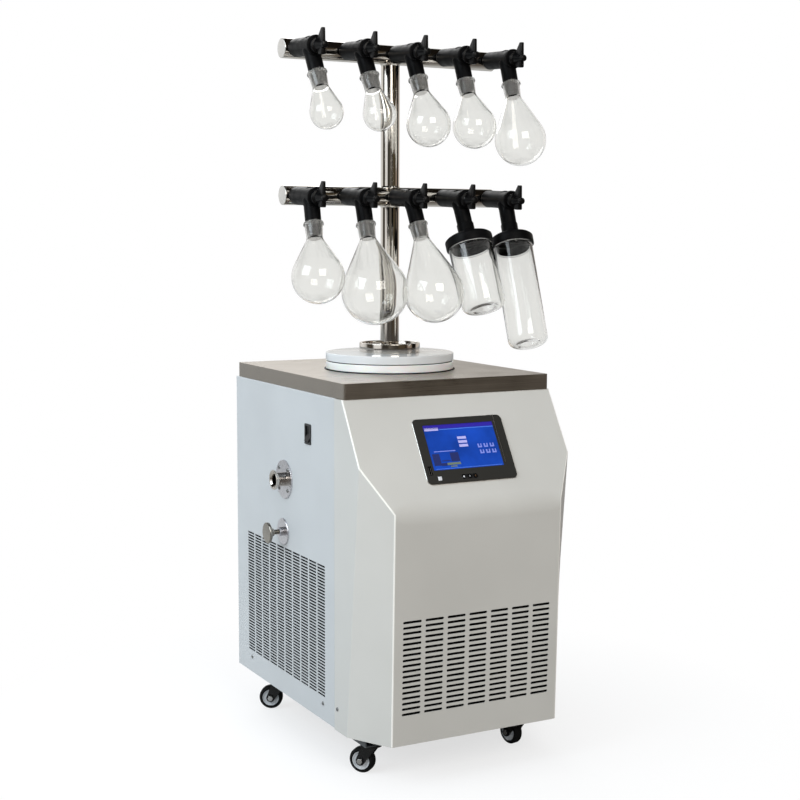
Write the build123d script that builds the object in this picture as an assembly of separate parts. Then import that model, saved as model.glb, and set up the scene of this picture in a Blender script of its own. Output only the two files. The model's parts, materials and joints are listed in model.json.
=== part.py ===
from build123d import *
import math
import os

# Floor-standing laboratory freeze dryer: a wheeled sheet-metal cabinet with a cold trap
# let into its worktop, and a two-bar manifold with ten flask valves above it.
# Millimetres. X runs to the right, Y to the rear, Z up. The origin is on the floor,
# directly under the axis of the cold trap.

# ---------------------------------------------------------------- cabinet
CABINET_WIDTH = 457.0
CABINET_REAR = 274.0            # trap axis to the rear face
PANEL_BOTTOM = 86.0
PANEL_TOP = 721.0
SHEET = 1.2
FOLD_RADIUS = 4.0
BROW_TOP_Y = -245.0             # front edge of the cabinet under the worktop
BROW_Y = -365.0                 # foremost line, under the control slope
BROW_Z = 522.5
FOOT_Y = -355.0                 # front face at its lower edge
CORNER_INSET = 48.5             # how far each front corner is cut back in X
CORNER_TOP_Z = 605.0
CORNER_FOOT_Y = -266.0
SEAM_Y = -202.0                 # where the front shell meets the side panels
SEAM_GAP = 0.8
RETURN_WIDTH = 16.0             # inward flanges on the panel edges
SIDE_PANEL_LIFT = 2.5

# ---------------------------------------------------------------- base and casters
PAN_FLOOR_Z = 88.0
PAN_SHEET = 2.0
PAN_WALL = 46.0
NOTCH_GAP = 0.5                 # pan's notches round the panels' flanges
CASTER_HEIGHT = 66.0
CASTER_X = 165.0
CASTER_FRONT_Y = -247.0
CASTER_REAR_Y = 192.0
CASTER_PLATE = 56.0
CASTER_PLATE_THICK = 2.5
RACE_RADIUS = 19.0
KINGPIN_RADIUS = 4.0
WHEEL_RADIUS = 25.0
WHEEL_WIDTH = 20.0
AXLE_RADIUS = 4.0
TRAIL = 20.0                    # swivel axis to wheel axis
FORK_SHEET = 2.5
FORK_SIDE_GAP = 1.2
RUNNING_CLEARANCE = 0.08
RAIL_WIDTH = 66.0
# Direction in which each wheel trails its swivel axis, degrees from +Y towards -X.
CASTERS = {
    "front_left": (-CASTER_X, CASTER_FRONT_Y, 40.0),
    "front_right": (CASTER_X, CASTER_FRONT_Y, 12.0),
    "rear_left": (-CASTER_X, CASTER_REAR_Y, 58.0),
    "rear_right": (CASTER_X, CASTER_REAR_Y, 30.0),
}

# ---------------------------------------------------------------- worktop and cold trap
WORKTOP_SIDE_INSET = 3.5        # in from each side panel's face
WORKTOP_FRONT_OVERHANG = 1.5    # out from the shell's top edge
WORKTOP_REAR_INSET = 6.5        # in from the rear face
WORKTOP_THICK = 30.0
WORKTOP_SHEET = 1.5
POT_RADIUS = 105.0
POT_WALL = 1.5
POT_BOTTOM_Z = 470.0
POT_RIM_RADIUS = 119.0
HOLE_CLEARANCE = 1.5
COIL_TUBE_RADIUS = 5.0
COIL_TURNS = 6
COIL_PITCH = 22.0
JACKET_THICK = 34.0
JACKET_FLOOR = 28.0
COLLAR_RADIUS = 131.0
COLLAR_BORE_RADIUS = 104.0
COLLAR_HEIGHT = 15.0
BASE_SEAL_RADIUS = 134.0
SEAL_THICK = 1.5
LID_THICK = 16.0
LID_SPIGOT_RADIUS = 101.0
LID_SPIGOT_DEPTH = 4.0

# ---------------------------------------------------------------- manifold
TUBE_RADIUS = 19.05
TUBE_WALL = 1.5
FLANGE_RADIUS = 62.0
FLANGE_THICK = 19.5
UPPER_BAR_Z = 1381.7
LOWER_BAR_Z = 1100.0
BAR_HALF_LENGTH = 239.0
PORT_PITCH = 109.0
PORTS_PER_BAR = 5
NIPPLE_RADIUS = 11.0
NIPPLE_BORE = 9.4
NIPPLE_END = 45.0               # distances along a valve run from the bar's axis
VALVE_DROOP = 3.0               # degrees the valves hang below level

# ---------------------------------------------------------------- valves
SLEEVE_RADIUS = 17.5
SLEEVE_END = 118.0
SLEEVE_RIM_RADIUS = 19.5
SLEEVE_RIM = 8.0
CORE_RADIUS = 12.0
CORE_START = 60.0
CORE_BORE = 7.0
BRANCH_AT = 91.0
BRANCH_LEAN = 27.4              # degrees the branch leans out from square to the sleeve
BRANCH_RADIUS = 15.5
BRANCH_LENGTH = 55.0
BRANCH_BORE = 7.5
PLUG_LENGTH = 28.0
PLUG_TOP_RADIUS = 14.2
PLUG_TIP_RADIUS = 12.9
KNOB_GAP = 0.4
KNOB_COLLAR_RADIUS = 15.0
KNOB_COLLAR = 9.0
KNOB_NECK = 8.0
BLADE_LONG = 31.0
BLADE_SHORT = 18.0
BLADE_THICK = 9.0
BLADE_DEPTH = 22.0
BOSS_RADIUS = 6.5
BOSS_LENGTH = 8.0
# How far each vessel swings about its valve's axis, degrees, left to right.
UPPER_SWING = (2.8, 3.8, 0.9, -1.6, -4.6)
LOWER_SWING = (-6.8, -4.4, 2.1, 0.9, -4.7)

# ---------------------------------------------------------------- vessels
GLASS_WALL = 2.0
MOUTH_RADIUS = 14.6
BEAD_RADIUS = 19.7
BEAD_HEIGHT = 6.0
NECK_TOP_RADIUS = 17.2
NECK_FOOT_RADIUS = 15.6
NECK_LENGTH = 34.0
# Bulb radius, and depth of the bulb's centre below the mouth.
FLASKS = {
    "flask_100ml": (32.0, 84.0, (("upper", 0), ("upper", 1))),
    "flask_250ml": (43.0, 101.0, (("upper", 2), ("upper", 3))),
    "flask_500ml_tall": (51.0, 127.0, (("upper", 4),)),
    "flask_500ml": (50.5, 111.5, (("lower", 0),)),
    "flask_1000ml": (64.0, 141.5, (("lower", 1),)),
    "flask_800ml": (58.5, 146.0, (("lower", 2),)),
}
CAP_NECK_RADIUS = 17.0
CAP_NECK = 28.0
CAP_TOP = 4.0
CAP_SKIRT = 17.0
CAP_WALL = 4.0
JAR_WALL = 2.5
JAR_CORNER = 14.0
# Outer radius, height of the glass, port on the lower bar.
JARS = {
    "short_jar": (43.8, 152.0, 3),
    "tall_jar": (39.8, 230.0, 4),
}

# ---------------------------------------------------------------- fittings
BEZEL_WIDTH = 195.0
BEZEL_HEIGHT = 132.0
BEZEL_THICK = 3.0
BEZEL_CORNER = 10.0
BEZEL_TOP_DOWN = 49.0           # down the slope from the cabinet's top edge
DISPLAY_WIDTH = 152.4
DISPLAY_HEIGHT = 91.4
DISPLAY_TOP_DOWN = 62.6
DISPLAY_SHIFT = -2.0
DISPLAY_DEPTH = 14.0
LIGHT_RADIUS = 4.5
LIGHT_PITCH = 12.5
LIGHT_X = -7.0
LIGHT_DOWN = 170.5
SQUARE_SIDE = 8.5
SQUARE_X = -70.5
USB_WIDTH = 8.0
USB_HEIGHT = 18.0
USB_X = -87.0
USB_DOWN = 154.0
PORT_Y = 17.5
PORT_RISE = 65.0                # above the pot's floor
PORT_PLATE_RADIUS = 39.0
PORT_PLATE_THICK = 3.0
PORT_TUBE_RADIUS = 14.0
PORT_BORE_RADIUS = 12.0
PORT_FLANGE_RADIUS = 20.0
PORT_REACH = 25.5               # flange face out from the side panel
PORT_RECESS_RADIUS = 13.1
DRAIN_Y = 24.0
DRAIN_DROP = 43.0               # below the pot's floor
DRAIN_PLATE_RADIUS = 27.0
DRAIN_PIPE_RADIUS = 6.0
DRAIN_PIPE_BORE = 4.0
DRAIN_BARREL_RADIUS = 9.0
DRAIN_BARREL = 9.0
DRAIN_STEM_RADIUS = 5.0
DRAIN_KNOB_RADIUS = 21.0
DRAIN_REACH = 38.0
SWITCH_Y = -97.0
SWITCH_Z = 640.0
SWITCH_WIDTH = 27.0
SWITCH_HEIGHT = 40.0
SWITCH_RIM = 2.0
SWITCH_DEPTH = 24.0
ROCKER_TILT = 9.0
INLET_X = 120.0
INLET_Z = 190.0
INLET_WIDTH = 48.0
INLET_HEIGHT = 28.0

# ---------------------------------------------------------------- grilles
FRONT_COLUMNS = 7
FRONT_ROWS = 18
FRONT_COLUMN_PITCH = 46.9
FRONT_ROW_PITCH = 10.25
FRONT_GRILLE_Z = 145.5
FRONT_SLOT = (39.0, 4.9)
SIDE_COLUMNS = 10
SIDE_ROWS = 43
SIDE_COLUMN_PITCH = 42.4
SIDE_ROW_PITCH = 6.05
SIDE_GRILLE_Y = -171.0
SIDE_GRILLE_Z = 138.0
SIDE_SLOT = (32.0, 2.7)

# ---------------------------------------------------------------- machinery
CONDENSER_WIDTH = 280.0
CONDENSER_HEIGHT = 220.0
CONDENSER_DEPTH = 42.0
CONDENSER_Y = -296.0            # its front face
CONDENSER_FINS = 20
FAN_RADIUS = 92.0
FAN_TIP_GAP = 4.0
FAN_HUB_RADIUS = 26.0
FAN_HUB = 22.0
FAN_BLADES = 5
FAN_SHAFT_RADIUS = 4.0
SHROUD_DEPTH = 30.0
SHROUD_ARM = 12.0
SHROUD_ARM_THICK = 3.0
FAN_MOTOR = 34.0
COMPRESSOR_X = -60.0
COMPRESSOR_Y = 120.0
COMPRESSOR_RADIUS = 88.0
COMPRESSOR_HEIGHT = 235.0
BOX_WIDTH = 70.0
BOX_LENGTH = 190.0
BOX_HEIGHT = 210.0
BOX_Y = 60.0
BOX_Z = 150.0
SCREW_RADIUS = 4.2
SCREW_HEAD = 1.8

HALF_WIDTH = CABINET_WIDTH / 2
WORKTOP_WIDTH = CABINET_WIDTH - 2 * WORKTOP_SIDE_INSET
WORKTOP_FRONT_Y = BROW_TOP_Y - WORKTOP_FRONT_OVERHANG
WORKTOP_REAR_Y = CABINET_REAR - WORKTOP_REAR_INSET
PORT_Z = POT_BOTTOM_Z + PORT_RISE
DRAIN_Z = POT_BOTTOM_Z - DRAIN_DROP
WORKTOP_Z = PANEL_TOP + WORKTOP_THICK
COLLAR_Z = WORKTOP_Z + SEAL_THICK
LID_SEAL_Z = COLLAR_Z + COLLAR_HEIGHT
LID_Z = LID_SEAL_Z + SEAL_THICK
FLANGE_Z = LID_Z + LID_THICK
FLANGE_TOP_Z = FLANGE_Z + FLANGE_THICK
PAN_TOP_Z = PAN_FLOOR_Z + PAN_SHEET
PORT_X = [(i - (PORTS_PER_BAR - 1) / 2) * PORT_PITCH for i in range(PORTS_PER_BAR)]
BAR_Z = {"upper": UPPER_BAR_Z, "lower": LOWER_BAR_Z}
SWING = {"upper": UPPER_SWING, "lower": LOWER_SWING}

LEFT_FACE = Plane(origin=(-HALF_WIDTH, 0, 0), x_dir=(0, 1, 0), z_dir=(1, 0, 0))
REAR_FACE = Plane(origin=(0, CABINET_REAR, 0), x_dir=(1, 0, 0), z_dir=(0, -1, 0))
SLOPE_ANGLE = math.degrees(math.atan2(BROW_TOP_Y - BROW_Y, PANEL_TOP - BROW_Z))
SLOPE = Plane(
    origin=(0, BROW_TOP_Y, PANEL_TOP),
    x_dir=(1, 0, 0),
    z_dir=(0, -math.cos(math.radians(SLOPE_ANGLE)), math.sin(math.radians(SLOPE_ANGLE))),
)


# ================================================================ helpers
def turned(points):
    """A solid of revolution about Z from an outline of (radius, height) points."""
    return revolve(Plane.XZ * make_face(Polyline(*points, close=True)), Axis.Z)


def box_between(low, high):
    """An axis-aligned box between two corners."""
    size = [b - a for a, b in zip(low, high)]
    return Pos(*low) * Box(*size, align=(Align.MIN, Align.MIN, Align.MIN))


def rod(radius, start, end):
    """A round bar between two points."""
    line = Vector(*end) - Vector(*start)
    return Plane(origin=start, z_dir=line) * Cylinder(
        radius, line.length, align=(Align.CENTER, Align.CENTER, Align.MIN)
    )


def pipe(radius, bore, start, end):
    """A round tube between two points."""
    return rod(radius, start, end) - rod(bore, start, end)


def slot_wires(width, height, columns, rows, column_pitch, row_pitch, corner=(0, 0)):
    """Square-ended slots in rows and columns, as wires for one perforated face."""
    x0, y0 = corner
    return [
        Polyline(
            *[(x + sx * width / 2, y + sy * height / 2) for sx, sy in ((-1, -1), (1, -1), (1, 1), (-1, 1))],
            close=True,
        ).wire()
        for x in (x0 + i * column_pitch for i in range(columns))
        for y in (y0 + j * row_pitch for j in range(rows))
    ]


def save(name, shape):
    export_step(shape, os.path.join("parts", name + ".step"))


# ================================================================ front shell
def line_meet(p, angle_p, q, angle_q):
    """Where two lines in one plane cross, each given by a point and a direction in degrees."""
    ax, ay = math.cos(math.radians(angle_p)), math.sin(math.radians(angle_p))
    bx, by = math.cos(math.radians(angle_q)), math.sin(math.radians(angle_q))
    t = ((q[0] - p[0]) * by - (q[1] - p[1]) * bx) / (ax * by - ay * bx)
    return p[0] + t * ax, p[1] + t * ay


def shell_points(inset):
    """Corner points of the front shell's left half, set in from its outer skin."""
    slope_angle = math.degrees(math.atan2(BROW_Z - PANEL_TOP, BROW_Y - BROW_TOP_Y))
    face_angle = math.degrees(math.atan2(PANEL_BOTTOM - BROW_Z, FOOT_Y - BROW_Y))
    slope_start = (
        BROW_TOP_Y - inset * math.sin(math.radians(slope_angle)),
        PANEL_TOP + inset * math.cos(math.radians(slope_angle)),
    )
    face_start = (
        BROW_Y - inset * math.sin(math.radians(face_angle)),
        BROW_Z + inset * math.cos(math.radians(face_angle)),
    )
    brow = line_meet(slope_start, slope_angle, face_start, face_angle)
    foot = line_meet(face_start, face_angle, (0, PANEL_BOTTOM + inset), 0)
    top = line_meet(slope_start, slope_angle, (0, PANEL_TOP - inset), 0)
    corner_angle = math.atan2(CORNER_INSET, CORNER_FOOT_Y - FOOT_Y)
    along_side = inset * math.tan(corner_angle / 2)
    along_front = inset * math.tan((math.pi / 2 - corner_angle) / 2)
    side_x = -HALF_WIDTH + inset
    front_x = -HALF_WIDTH + CORNER_INSET + along_front
    outer_slope_y = BROW_TOP_Y + (CORNER_TOP_Z - PANEL_TOP) / math.tan(math.radians(slope_angle))
    corner_top_y = outer_slope_y + along_side
    corner_top_z = slope_start[1] + (corner_top_y - slope_start[0]) * math.tan(math.radians(slope_angle))
    return {
        "rear_foot": (side_x, SEAM_Y - SEAM_GAP - inset, PANEL_BOTTOM + inset),
        "corner_foot": (side_x, CORNER_FOOT_Y + along_side, PANEL_BOTTOM + inset),
        "foot": (front_x, foot[0], foot[1]),
        "brow": (front_x, brow[0], brow[1]),
        "corner_top": (side_x, corner_top_y, corner_top_z),
        "top": (side_x, top[0], PANEL_TOP - inset),
        "rear_top": (side_x, SEAM_Y - SEAM_GAP - inset, PANEL_TOP - inset),
    }


def shell_solid(inset):
    """The closed volume of the front shell, with a ruled, slightly twisted facet at each front corner."""
    left = shell_points(inset)
    right = {name: (-x, y, z) for name, (x, y, z) in left.items()}

    def flat(*points):
        return Face(Wire.make_polygon([Vector(*p) for p in points], close=True))

    faces = [
        flat(left["foot"], right["foot"], right["brow"], left["brow"]),
        flat(
            left["brow"], right["brow"], right["corner_top"], right["top"],
            left["top"], left["corner_top"],
        ),
        flat(left["top"], right["top"], right["rear_top"], left["rear_top"]),
        flat(left["rear_foot"], right["rear_foot"], right["rear_top"], left["rear_top"]),
        flat(
            left["rear_foot"], left["corner_foot"], left["foot"],
            right["foot"], right["corner_foot"], right["rear_foot"],
        ),
    ]
    for side in (left, right):
        faces.append(
            flat(
                side["rear_foot"], side["corner_foot"], side["corner_top"],
                side["top"], side["rear_top"],
            )
        )
        faces.append(
            Face.make_bezier_surface(
                [
                    [Vector(*side["corner_foot"]), Vector(*side["foot"])],
                    [Vector(*side["corner_top"]), Vector(*side["brow"])],
                ]
            )
        )
    return Solid(Shell(faces))


def front_grille_cutters():
    """Round-ended slots through the lower front face."""
    width, height = FRONT_SLOT
    x0 = -(FRONT_COLUMNS - 1) * FRONT_COLUMN_PITCH / 2
    return [
        Plane(
            origin=(x0 + i * FRONT_COLUMN_PITCH, BROW_Y - 5, FRONT_GRILLE_Z + j * FRONT_ROW_PITCH),
            x_dir=(1, 0, 0),
            z_dir=(0, 1, 0),
        )
        * extrude(SlotOverall(width, height), amount=FOOT_Y - BROW_Y + 5 + 5 * SHEET)
        for i in range(FRONT_COLUMNS)
        for j in range(FRONT_ROWS)
    ]


def front_panel():
    outer = shell_solid(0)
    inner = shell_solid(SHEET)
    left = shell_points(0)
    window_x = HALF_WIDTH - RETURN_WIDTH
    rear_window = box_between(
        (-window_x, SEAM_Y - SEAM_GAP - 3 * SHEET, PANEL_BOTTOM - 1),
        (window_x, SEAM_Y + 5, PANEL_TOP - RETURN_WIDTH),
    )
    top_window = box_between(
        (-window_x, BROW_TOP_Y + RETURN_WIDTH, PANEL_TOP - RETURN_WIDTH - 1),
        (window_x, SEAM_Y + 5, PANEL_TOP + 1),
    )
    floor = [left["rear_foot"], left["corner_foot"], left["foot"]]
    outline = [(x + SHEET, y + SHEET) for x, y, z in floor]
    outline[0] = (outline[0][0], SEAM_Y + 5)
    outline += [(-x, y) for x, y in reversed(outline)]
    bottom_window = Pos(0, 0, PANEL_BOTTOM - 1) * extrude(
        make_face(Polyline(*outline, close=True)), amount=3 * SHEET + 1
    )
    shell = outer - inner - rear_window - top_window - bottom_window
    display_hole = SLOPE * Pos(DISPLAY_SHIFT, -(DISPLAY_TOP_DOWN + DISPLAY_HEIGHT / 2), 0) * Box(
        DISPLAY_WIDTH + 4, DISPLAY_HEIGHT + 4, 8 * SHEET
    )
    return shell - display_hole - front_grille_cutters()


# ================================================================ other panels
def tray(face_plane, low, high, holes, returns):
    """A flat sheet with inward flanges. The outline and holes are drawn on the face plane."""
    (x0, y0), (x1, y1) = low, high
    outline = Polyline((x0, y0), (x1, y0), (x1, y1), (x0, y1), close=True).wire()
    panel = face_plane * extrude(Face(outline, holes), amount=SHEET)
    for side in returns:
        strips = {
            "low_x": ((x0, y0, 0), (x0 + SHEET, y1, RETURN_WIDTH)),
            "high_x": ((x1 - SHEET, y0, 0), (x1, y1, RETURN_WIDTH)),
            "high_y": ((x0, y1 - SHEET, 0), (x1, y1, RETURN_WIDTH)),
        }
        panel += face_plane * box_between(*strips[side])
    return panel


def circle_wire(x, y, radius):
    return (Pos(x, y) * Wire.make_circle(radius))


def rectangle_wire(x, y, width, height):
    return (Pos(x, y) * Wire.make_rect(width, height))


def side_panel_holes():
    holes = slot_wires(
        *SIDE_SLOT, SIDE_COLUMNS, SIDE_ROWS, SIDE_COLUMN_PITCH, SIDE_ROW_PITCH,
        (SIDE_GRILLE_Y, SIDE_GRILLE_Z),
    )
    holes.append(circle_wire(PORT_Y, PORT_Z, PORT_TUBE_RADIUS + HOLE_CLEARANCE))
    holes.append(circle_wire(DRAIN_Y, DRAIN_Z, DRAIN_PIPE_RADIUS + HOLE_CLEARANCE))
    holes.append(rectangle_wire(SWITCH_Y, SWITCH_Z, SWITCH_WIDTH - 2 * SWITCH_RIM, SWITCH_HEIGHT - 2 * SWITCH_RIM))
    return holes


def side_panel(face_plane, holes):
    low = (SEAM_Y, PANEL_BOTTOM + SIDE_PANEL_LIFT)
    high = (CABINET_REAR - SHEET, PANEL_TOP)
    return tray(face_plane, low, high, holes, ("low_x", "high_x", "high_y"))


def left_side_panel():
    return side_panel(LEFT_FACE, side_panel_holes())


def right_side_panel():
    return mirror(side_panel(LEFT_FACE, []), Plane.YZ)


def rear_panel():
    inset = 1.0
    low = (-HALF_WIDTH + inset, PANEL_BOTTOM + SIDE_PANEL_LIFT)
    high = (HALF_WIDTH - inset, PANEL_TOP)
    inlet = rectangle_wire(INLET_X, INLET_Z, INLET_WIDTH - 4, INLET_HEIGHT - 4)
    return tray(REAR_FACE, low, high, [inlet], ())


def worktop():
    """A folded stainless pan, open underneath, with the cold trap's hole in it."""
    low = (-WORKTOP_WIDTH / 2, WORKTOP_FRONT_Y)
    high = (WORKTOP_WIDTH / 2, WORKTOP_REAR_Y)
    block = box_between((*low, PANEL_TOP), (*high, WORKTOP_Z))
    edges = block.edges().filter_by(Axis.Z) + block.edges().group_by(Axis.Z)[-1]
    block = fillet(edges, 2.0)
    hollow = box_between(
        (low[0] + WORKTOP_SHEET, low[1] + WORKTOP_SHEET, PANEL_TOP - 1),
        (high[0] - WORKTOP_SHEET, high[1] - WORKTOP_SHEET, WORKTOP_Z - WORKTOP_SHEET),
    )
    hole = rod(POT_RADIUS + HOLE_CLEARANCE, (0, 0, PANEL_TOP), (0, 0, WORKTOP_Z + 1))
    return block - hollow - hole


# ================================================================ base and casters
def base_frame():
    """A folded floor pan with two hat-section rails welded under it for the casters."""
    side = HALF_WIDTH - SHEET
    corner_y = CORNER_FOOT_Y + 4 * SHEET
    front_y = FOOT_Y + 4 * SHEET
    front_x = side - CORNER_INSET
    rear = CABINET_REAR - 2 * SHEET
    half = [(-side, rear), (-side, corner_y), (-front_x, front_y)]
    outline = half + [(-x, y) for x, y in reversed(half)]
    plan = make_face(Polyline(*outline, close=True))
    inner_plan = offset(plan, amount=-PAN_SHEET, kind=Kind.INTERSECTION)
    pan = Pos(0, 0, PAN_FLOOR_Z) * extrude(plan, amount=PAN_WALL)
    pan -= Pos(0, 0, PAN_TOP_Z) * extrude(inner_plan, amount=PAN_WALL)
    rail_front = CASTER_FRONT_Y - CASTER_PLATE / 2 - 8
    rail_rear = CASTER_REAR_Y + CASTER_PLATE / 2 + 8
    for x_side in (-1, 1):
        for low_y, high_y in (
            (SEAM_Y - SEAM_GAP - SHEET, SEAM_Y + SHEET),
            (CABINET_REAR - 2 * SHEET, CABINET_REAR),
        ):
            inner_x, outer_x = sorted((x_side * (HALF_WIDTH - RETURN_WIDTH - 1), x_side * HALF_WIDTH))
            pan -= box_between(
                (inner_x, low_y - NOTCH_GAP, PAN_FLOOR_Z - 1), (outer_x, high_y + NOTCH_GAP, PAN_FLOOR_Z + 2 * PAN_WALL)
            )
    for x in (-CASTER_X, CASTER_X):
        rail = box_between(
            (x - RAIL_WIDTH / 2, rail_front, CASTER_HEIGHT), (x + RAIL_WIDTH / 2, rail_rear, PAN_FLOOR_Z)
        )
        hollow = box_between(
            (x - RAIL_WIDTH / 2 + PAN_SHEET, rail_front - 1, CASTER_HEIGHT + PAN_SHEET),
            (x + RAIL_WIDTH / 2 - PAN_SHEET, rail_rear + 1, PAN_FLOOR_Z),
        )
        pan += rail - hollow
    return pan


FORK_TOP_Z = CASTER_HEIGHT - CASTER_PLATE_THICK - 6.0
FORK_GAP = 0.3


def caster_plate(x, y):
    """A fixed top plate with its ball race and kingpin."""
    race_low = FORK_TOP_Z + FORK_GAP
    plate = box_between(
        (x - CASTER_PLATE / 2, y - CASTER_PLATE / 2, CASTER_HEIGHT - CASTER_PLATE_THICK),
        (x + CASTER_PLATE / 2, y + CASTER_PLATE / 2, CASTER_HEIGHT),
    )
    plate = fillet(plate.edges().filter_by(Axis.Z), 6.0)
    race = turned(
        [
            (0, race_low), (RACE_RADIUS - 2, race_low), (RACE_RADIUS, race_low + 2),
            (RACE_RADIUS, CASTER_HEIGHT - CASTER_PLATE_THICK), (0, CASTER_HEIGHT - CASTER_PLATE_THICK),
        ]
    )
    fork_low = FORK_TOP_Z - FORK_SHEET
    kingpin = turned(
        [
            (0, fork_low - FORK_GAP - 1.6), (KINGPIN_RADIUS + 2.5, fork_low - FORK_GAP - 1.6),
            (KINGPIN_RADIUS + 2.5, fork_low - FORK_GAP), (KINGPIN_RADIUS, fork_low - FORK_GAP),
            (KINGPIN_RADIUS, race_low), (0, race_low),
        ]
    )
    return plate + Pos(x, y, 0) * race + Pos(x, y, 0) * kingpin


def caster_fork():
    """A pressed fork about its swivel axis, trailing along +Y, with its axle bolt."""
    leg_inner = WHEEL_WIDTH / 2 + FORK_SIDE_GAP
    fork_low = FORK_TOP_Z - FORK_SHEET
    crown = Pos(0, 0, fork_low) * Cylinder(
        RACE_RADIUS, FORK_SHEET, align=(Align.CENTER, Align.CENTER, Align.MIN)
    )
    crown += box_between((-leg_inner - FORK_SHEET, 0, fork_low), (leg_inner + FORK_SHEET, RACE_RADIUS, FORK_TOP_Z))
    bolt_lug = 9.0
    leg_outline = make_hull(
        [
            *(Pos(TRAIL, WHEEL_RADIUS) * Circle(bolt_lug)).edges(),
            *(Pos(2.5, FORK_TOP_Z - 2) * Rectangle(RACE_RADIUS * 1.5, 4)).edges(),
        ]
    )
    leg_plane = Plane(origin=(leg_inner, 0, 0), x_dir=(0, 1, 0), z_dir=(1, 0, 0))
    leg = leg_plane * extrude(leg_outline, amount=FORK_SHEET)
    fork = crown + leg + mirror(leg, Plane.YZ)
    fork -= rod(KINGPIN_RADIUS + RUNNING_CLEARANCE, (0, 0, fork_low - 1), (0, 0, FORK_TOP_Z + 1))
    outer = leg_inner + FORK_SHEET
    fork += rod(AXLE_RADIUS, (-outer, TRAIL, WHEEL_RADIUS), (outer, TRAIL, WHEEL_RADIUS))
    for side in (-1, 1):
        fork += rod(
            AXLE_RADIUS + 3, (side * outer, TRAIL, WHEEL_RADIUS), (side * (outer + 4), TRAIL, WHEEL_RADIUS)
        )
    return fork


def caster_wheel():
    """Tyre and dished hub turned about the axle, with the bore along X."""
    half = WHEEL_WIDTH / 2
    hub_half = half + FORK_SIDE_GAP - 0.4
    bore = AXLE_RADIUS + RUNNING_CLEARANCE
    wheel = turned(
        [
            (bore, -hub_half), (8, -hub_half), (8, -half + 3), (17.5, -half + 3), (18.5, -half),
            (WHEEL_RADIUS - 4, -half), (WHEEL_RADIUS - 1, -half + 2.5), (WHEEL_RADIUS, -half + 6),
            (WHEEL_RADIUS, half - 6), (WHEEL_RADIUS - 1, half - 2.5), (WHEEL_RADIUS - 4, half),
            (18.5, half), (17.5, half - 3), (8, half - 3), (8, hub_half), (bore, hub_half),
        ]
    )
    return Pos(0, TRAIL, WHEEL_RADIUS) * Rot(0, 90, 0) * wheel


def on_caster(name, shape):
    x, y, trail_angle = CASTERS[name]
    return Pos(x, y, 0) * Rot(0, 0, trail_angle) * shape


# ================================================================ cold trap
def trap_pot():
    inner = POT_RADIUS - POT_WALL
    dish = 12.0
    pot = turned(
        [
            (0, POT_BOTTOM_Z), (POT_RADIUS - dish, POT_BOTTOM_Z), (POT_RADIUS, POT_BOTTOM_Z + dish),
            (POT_RADIUS, WORKTOP_Z), (POT_RIM_RADIUS, WORKTOP_Z), (POT_RIM_RADIUS, COLLAR_Z),
            (inner, COLLAR_Z), (inner, POT_BOTTOM_Z + dish), (POT_RADIUS - dish, POT_BOTTOM_Z + POT_WALL),
            (0, POT_BOTTOM_Z + POT_WALL),
        ]
    )
    port_hole = rod(PORT_BORE_RADIUS, (-POT_RADIUS - 5, PORT_Y, PORT_Z), (-POT_RADIUS / 2, PORT_Y, PORT_Z))
    drain_hole = rod(DRAIN_PIPE_BORE, (0, 0, POT_BOTTOM_Z - 1), (0, 0, POT_BOTTOM_Z + 2 * POT_WALL))
    return pot - port_hole - drain_hole


def evaporator_coil():
    """The refrigerant tube, wound round the upper part of the pot."""
    height = COIL_TURNS * COIL_PITCH
    low = WORKTOP_Z - WORKTOP_SHEET - height - 2 * COIL_TUBE_RADIUS
    radius = POT_RADIUS + COIL_TUBE_RADIUS
    path = Helix(COIL_PITCH, height, radius, center=(0, 0, low))
    section = Plane(origin=path @ 0, z_dir=path % 0) * Circle(COIL_TUBE_RADIUS)
    return sweep(section, path)


def trap_insulation():
    """Foam jacket round the pot and its coil."""
    bore = POT_RADIUS + 2 * COIL_TUBE_RADIUS
    outer = bore + JACKET_THICK
    top = WORKTOP_Z - WORKTOP_SHEET
    low = POT_BOTTOM_Z - JACKET_FLOOR
    jacket = turned([(0, low), (outer, low), (outer, top), (bore, top), (bore, POT_BOTTOM_Z), (0, POT_BOTTOM_Z)])
    port_hole = rod(PORT_TUBE_RADIUS, (-outer - 1, PORT_Y, PORT_Z), (0, PORT_Y, PORT_Z))
    drain_hole = rod(DRAIN_PIPE_RADIUS, (0, 0, low - 1), (0, 0, POT_BOTTOM_Z + 1))
    return jacket - port_hole - drain_hole


def trap_collar():
    collar = turned(
        [
            (COLLAR_BORE_RADIUS, COLLAR_Z), (COLLAR_RADIUS, COLLAR_Z),
            (COLLAR_RADIUS, LID_SEAL_Z), (COLLAR_BORE_RADIUS, LID_SEAL_Z),
        ]
    )
    outer_rims = collar.edges().filter_by(GeomType.CIRCLE).group_by(SortBy.RADIUS)[-1]
    return fillet(outer_rims, 1.2)


def trap_seals():
    """The flat seal under the collar, outside the pot's rim, and the lid's seal on top of it."""
    base = turned(
        [
            (POT_RIM_RADIUS, WORKTOP_Z), (BASE_SEAL_RADIUS, WORKTOP_Z),
            (BASE_SEAL_RADIUS, COLLAR_Z), (POT_RIM_RADIUS, COLLAR_Z),
        ]
    )
    seal_outer = COLLAR_RADIUS - 2.5
    top = turned(
        [
            (COLLAR_BORE_RADIUS + 4, LID_SEAL_Z), (seal_outer, LID_SEAL_Z),
            (seal_outer, LID_Z), (COLLAR_BORE_RADIUS + 4, LID_Z),
        ]
    )
    return Compound([base, top])


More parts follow.
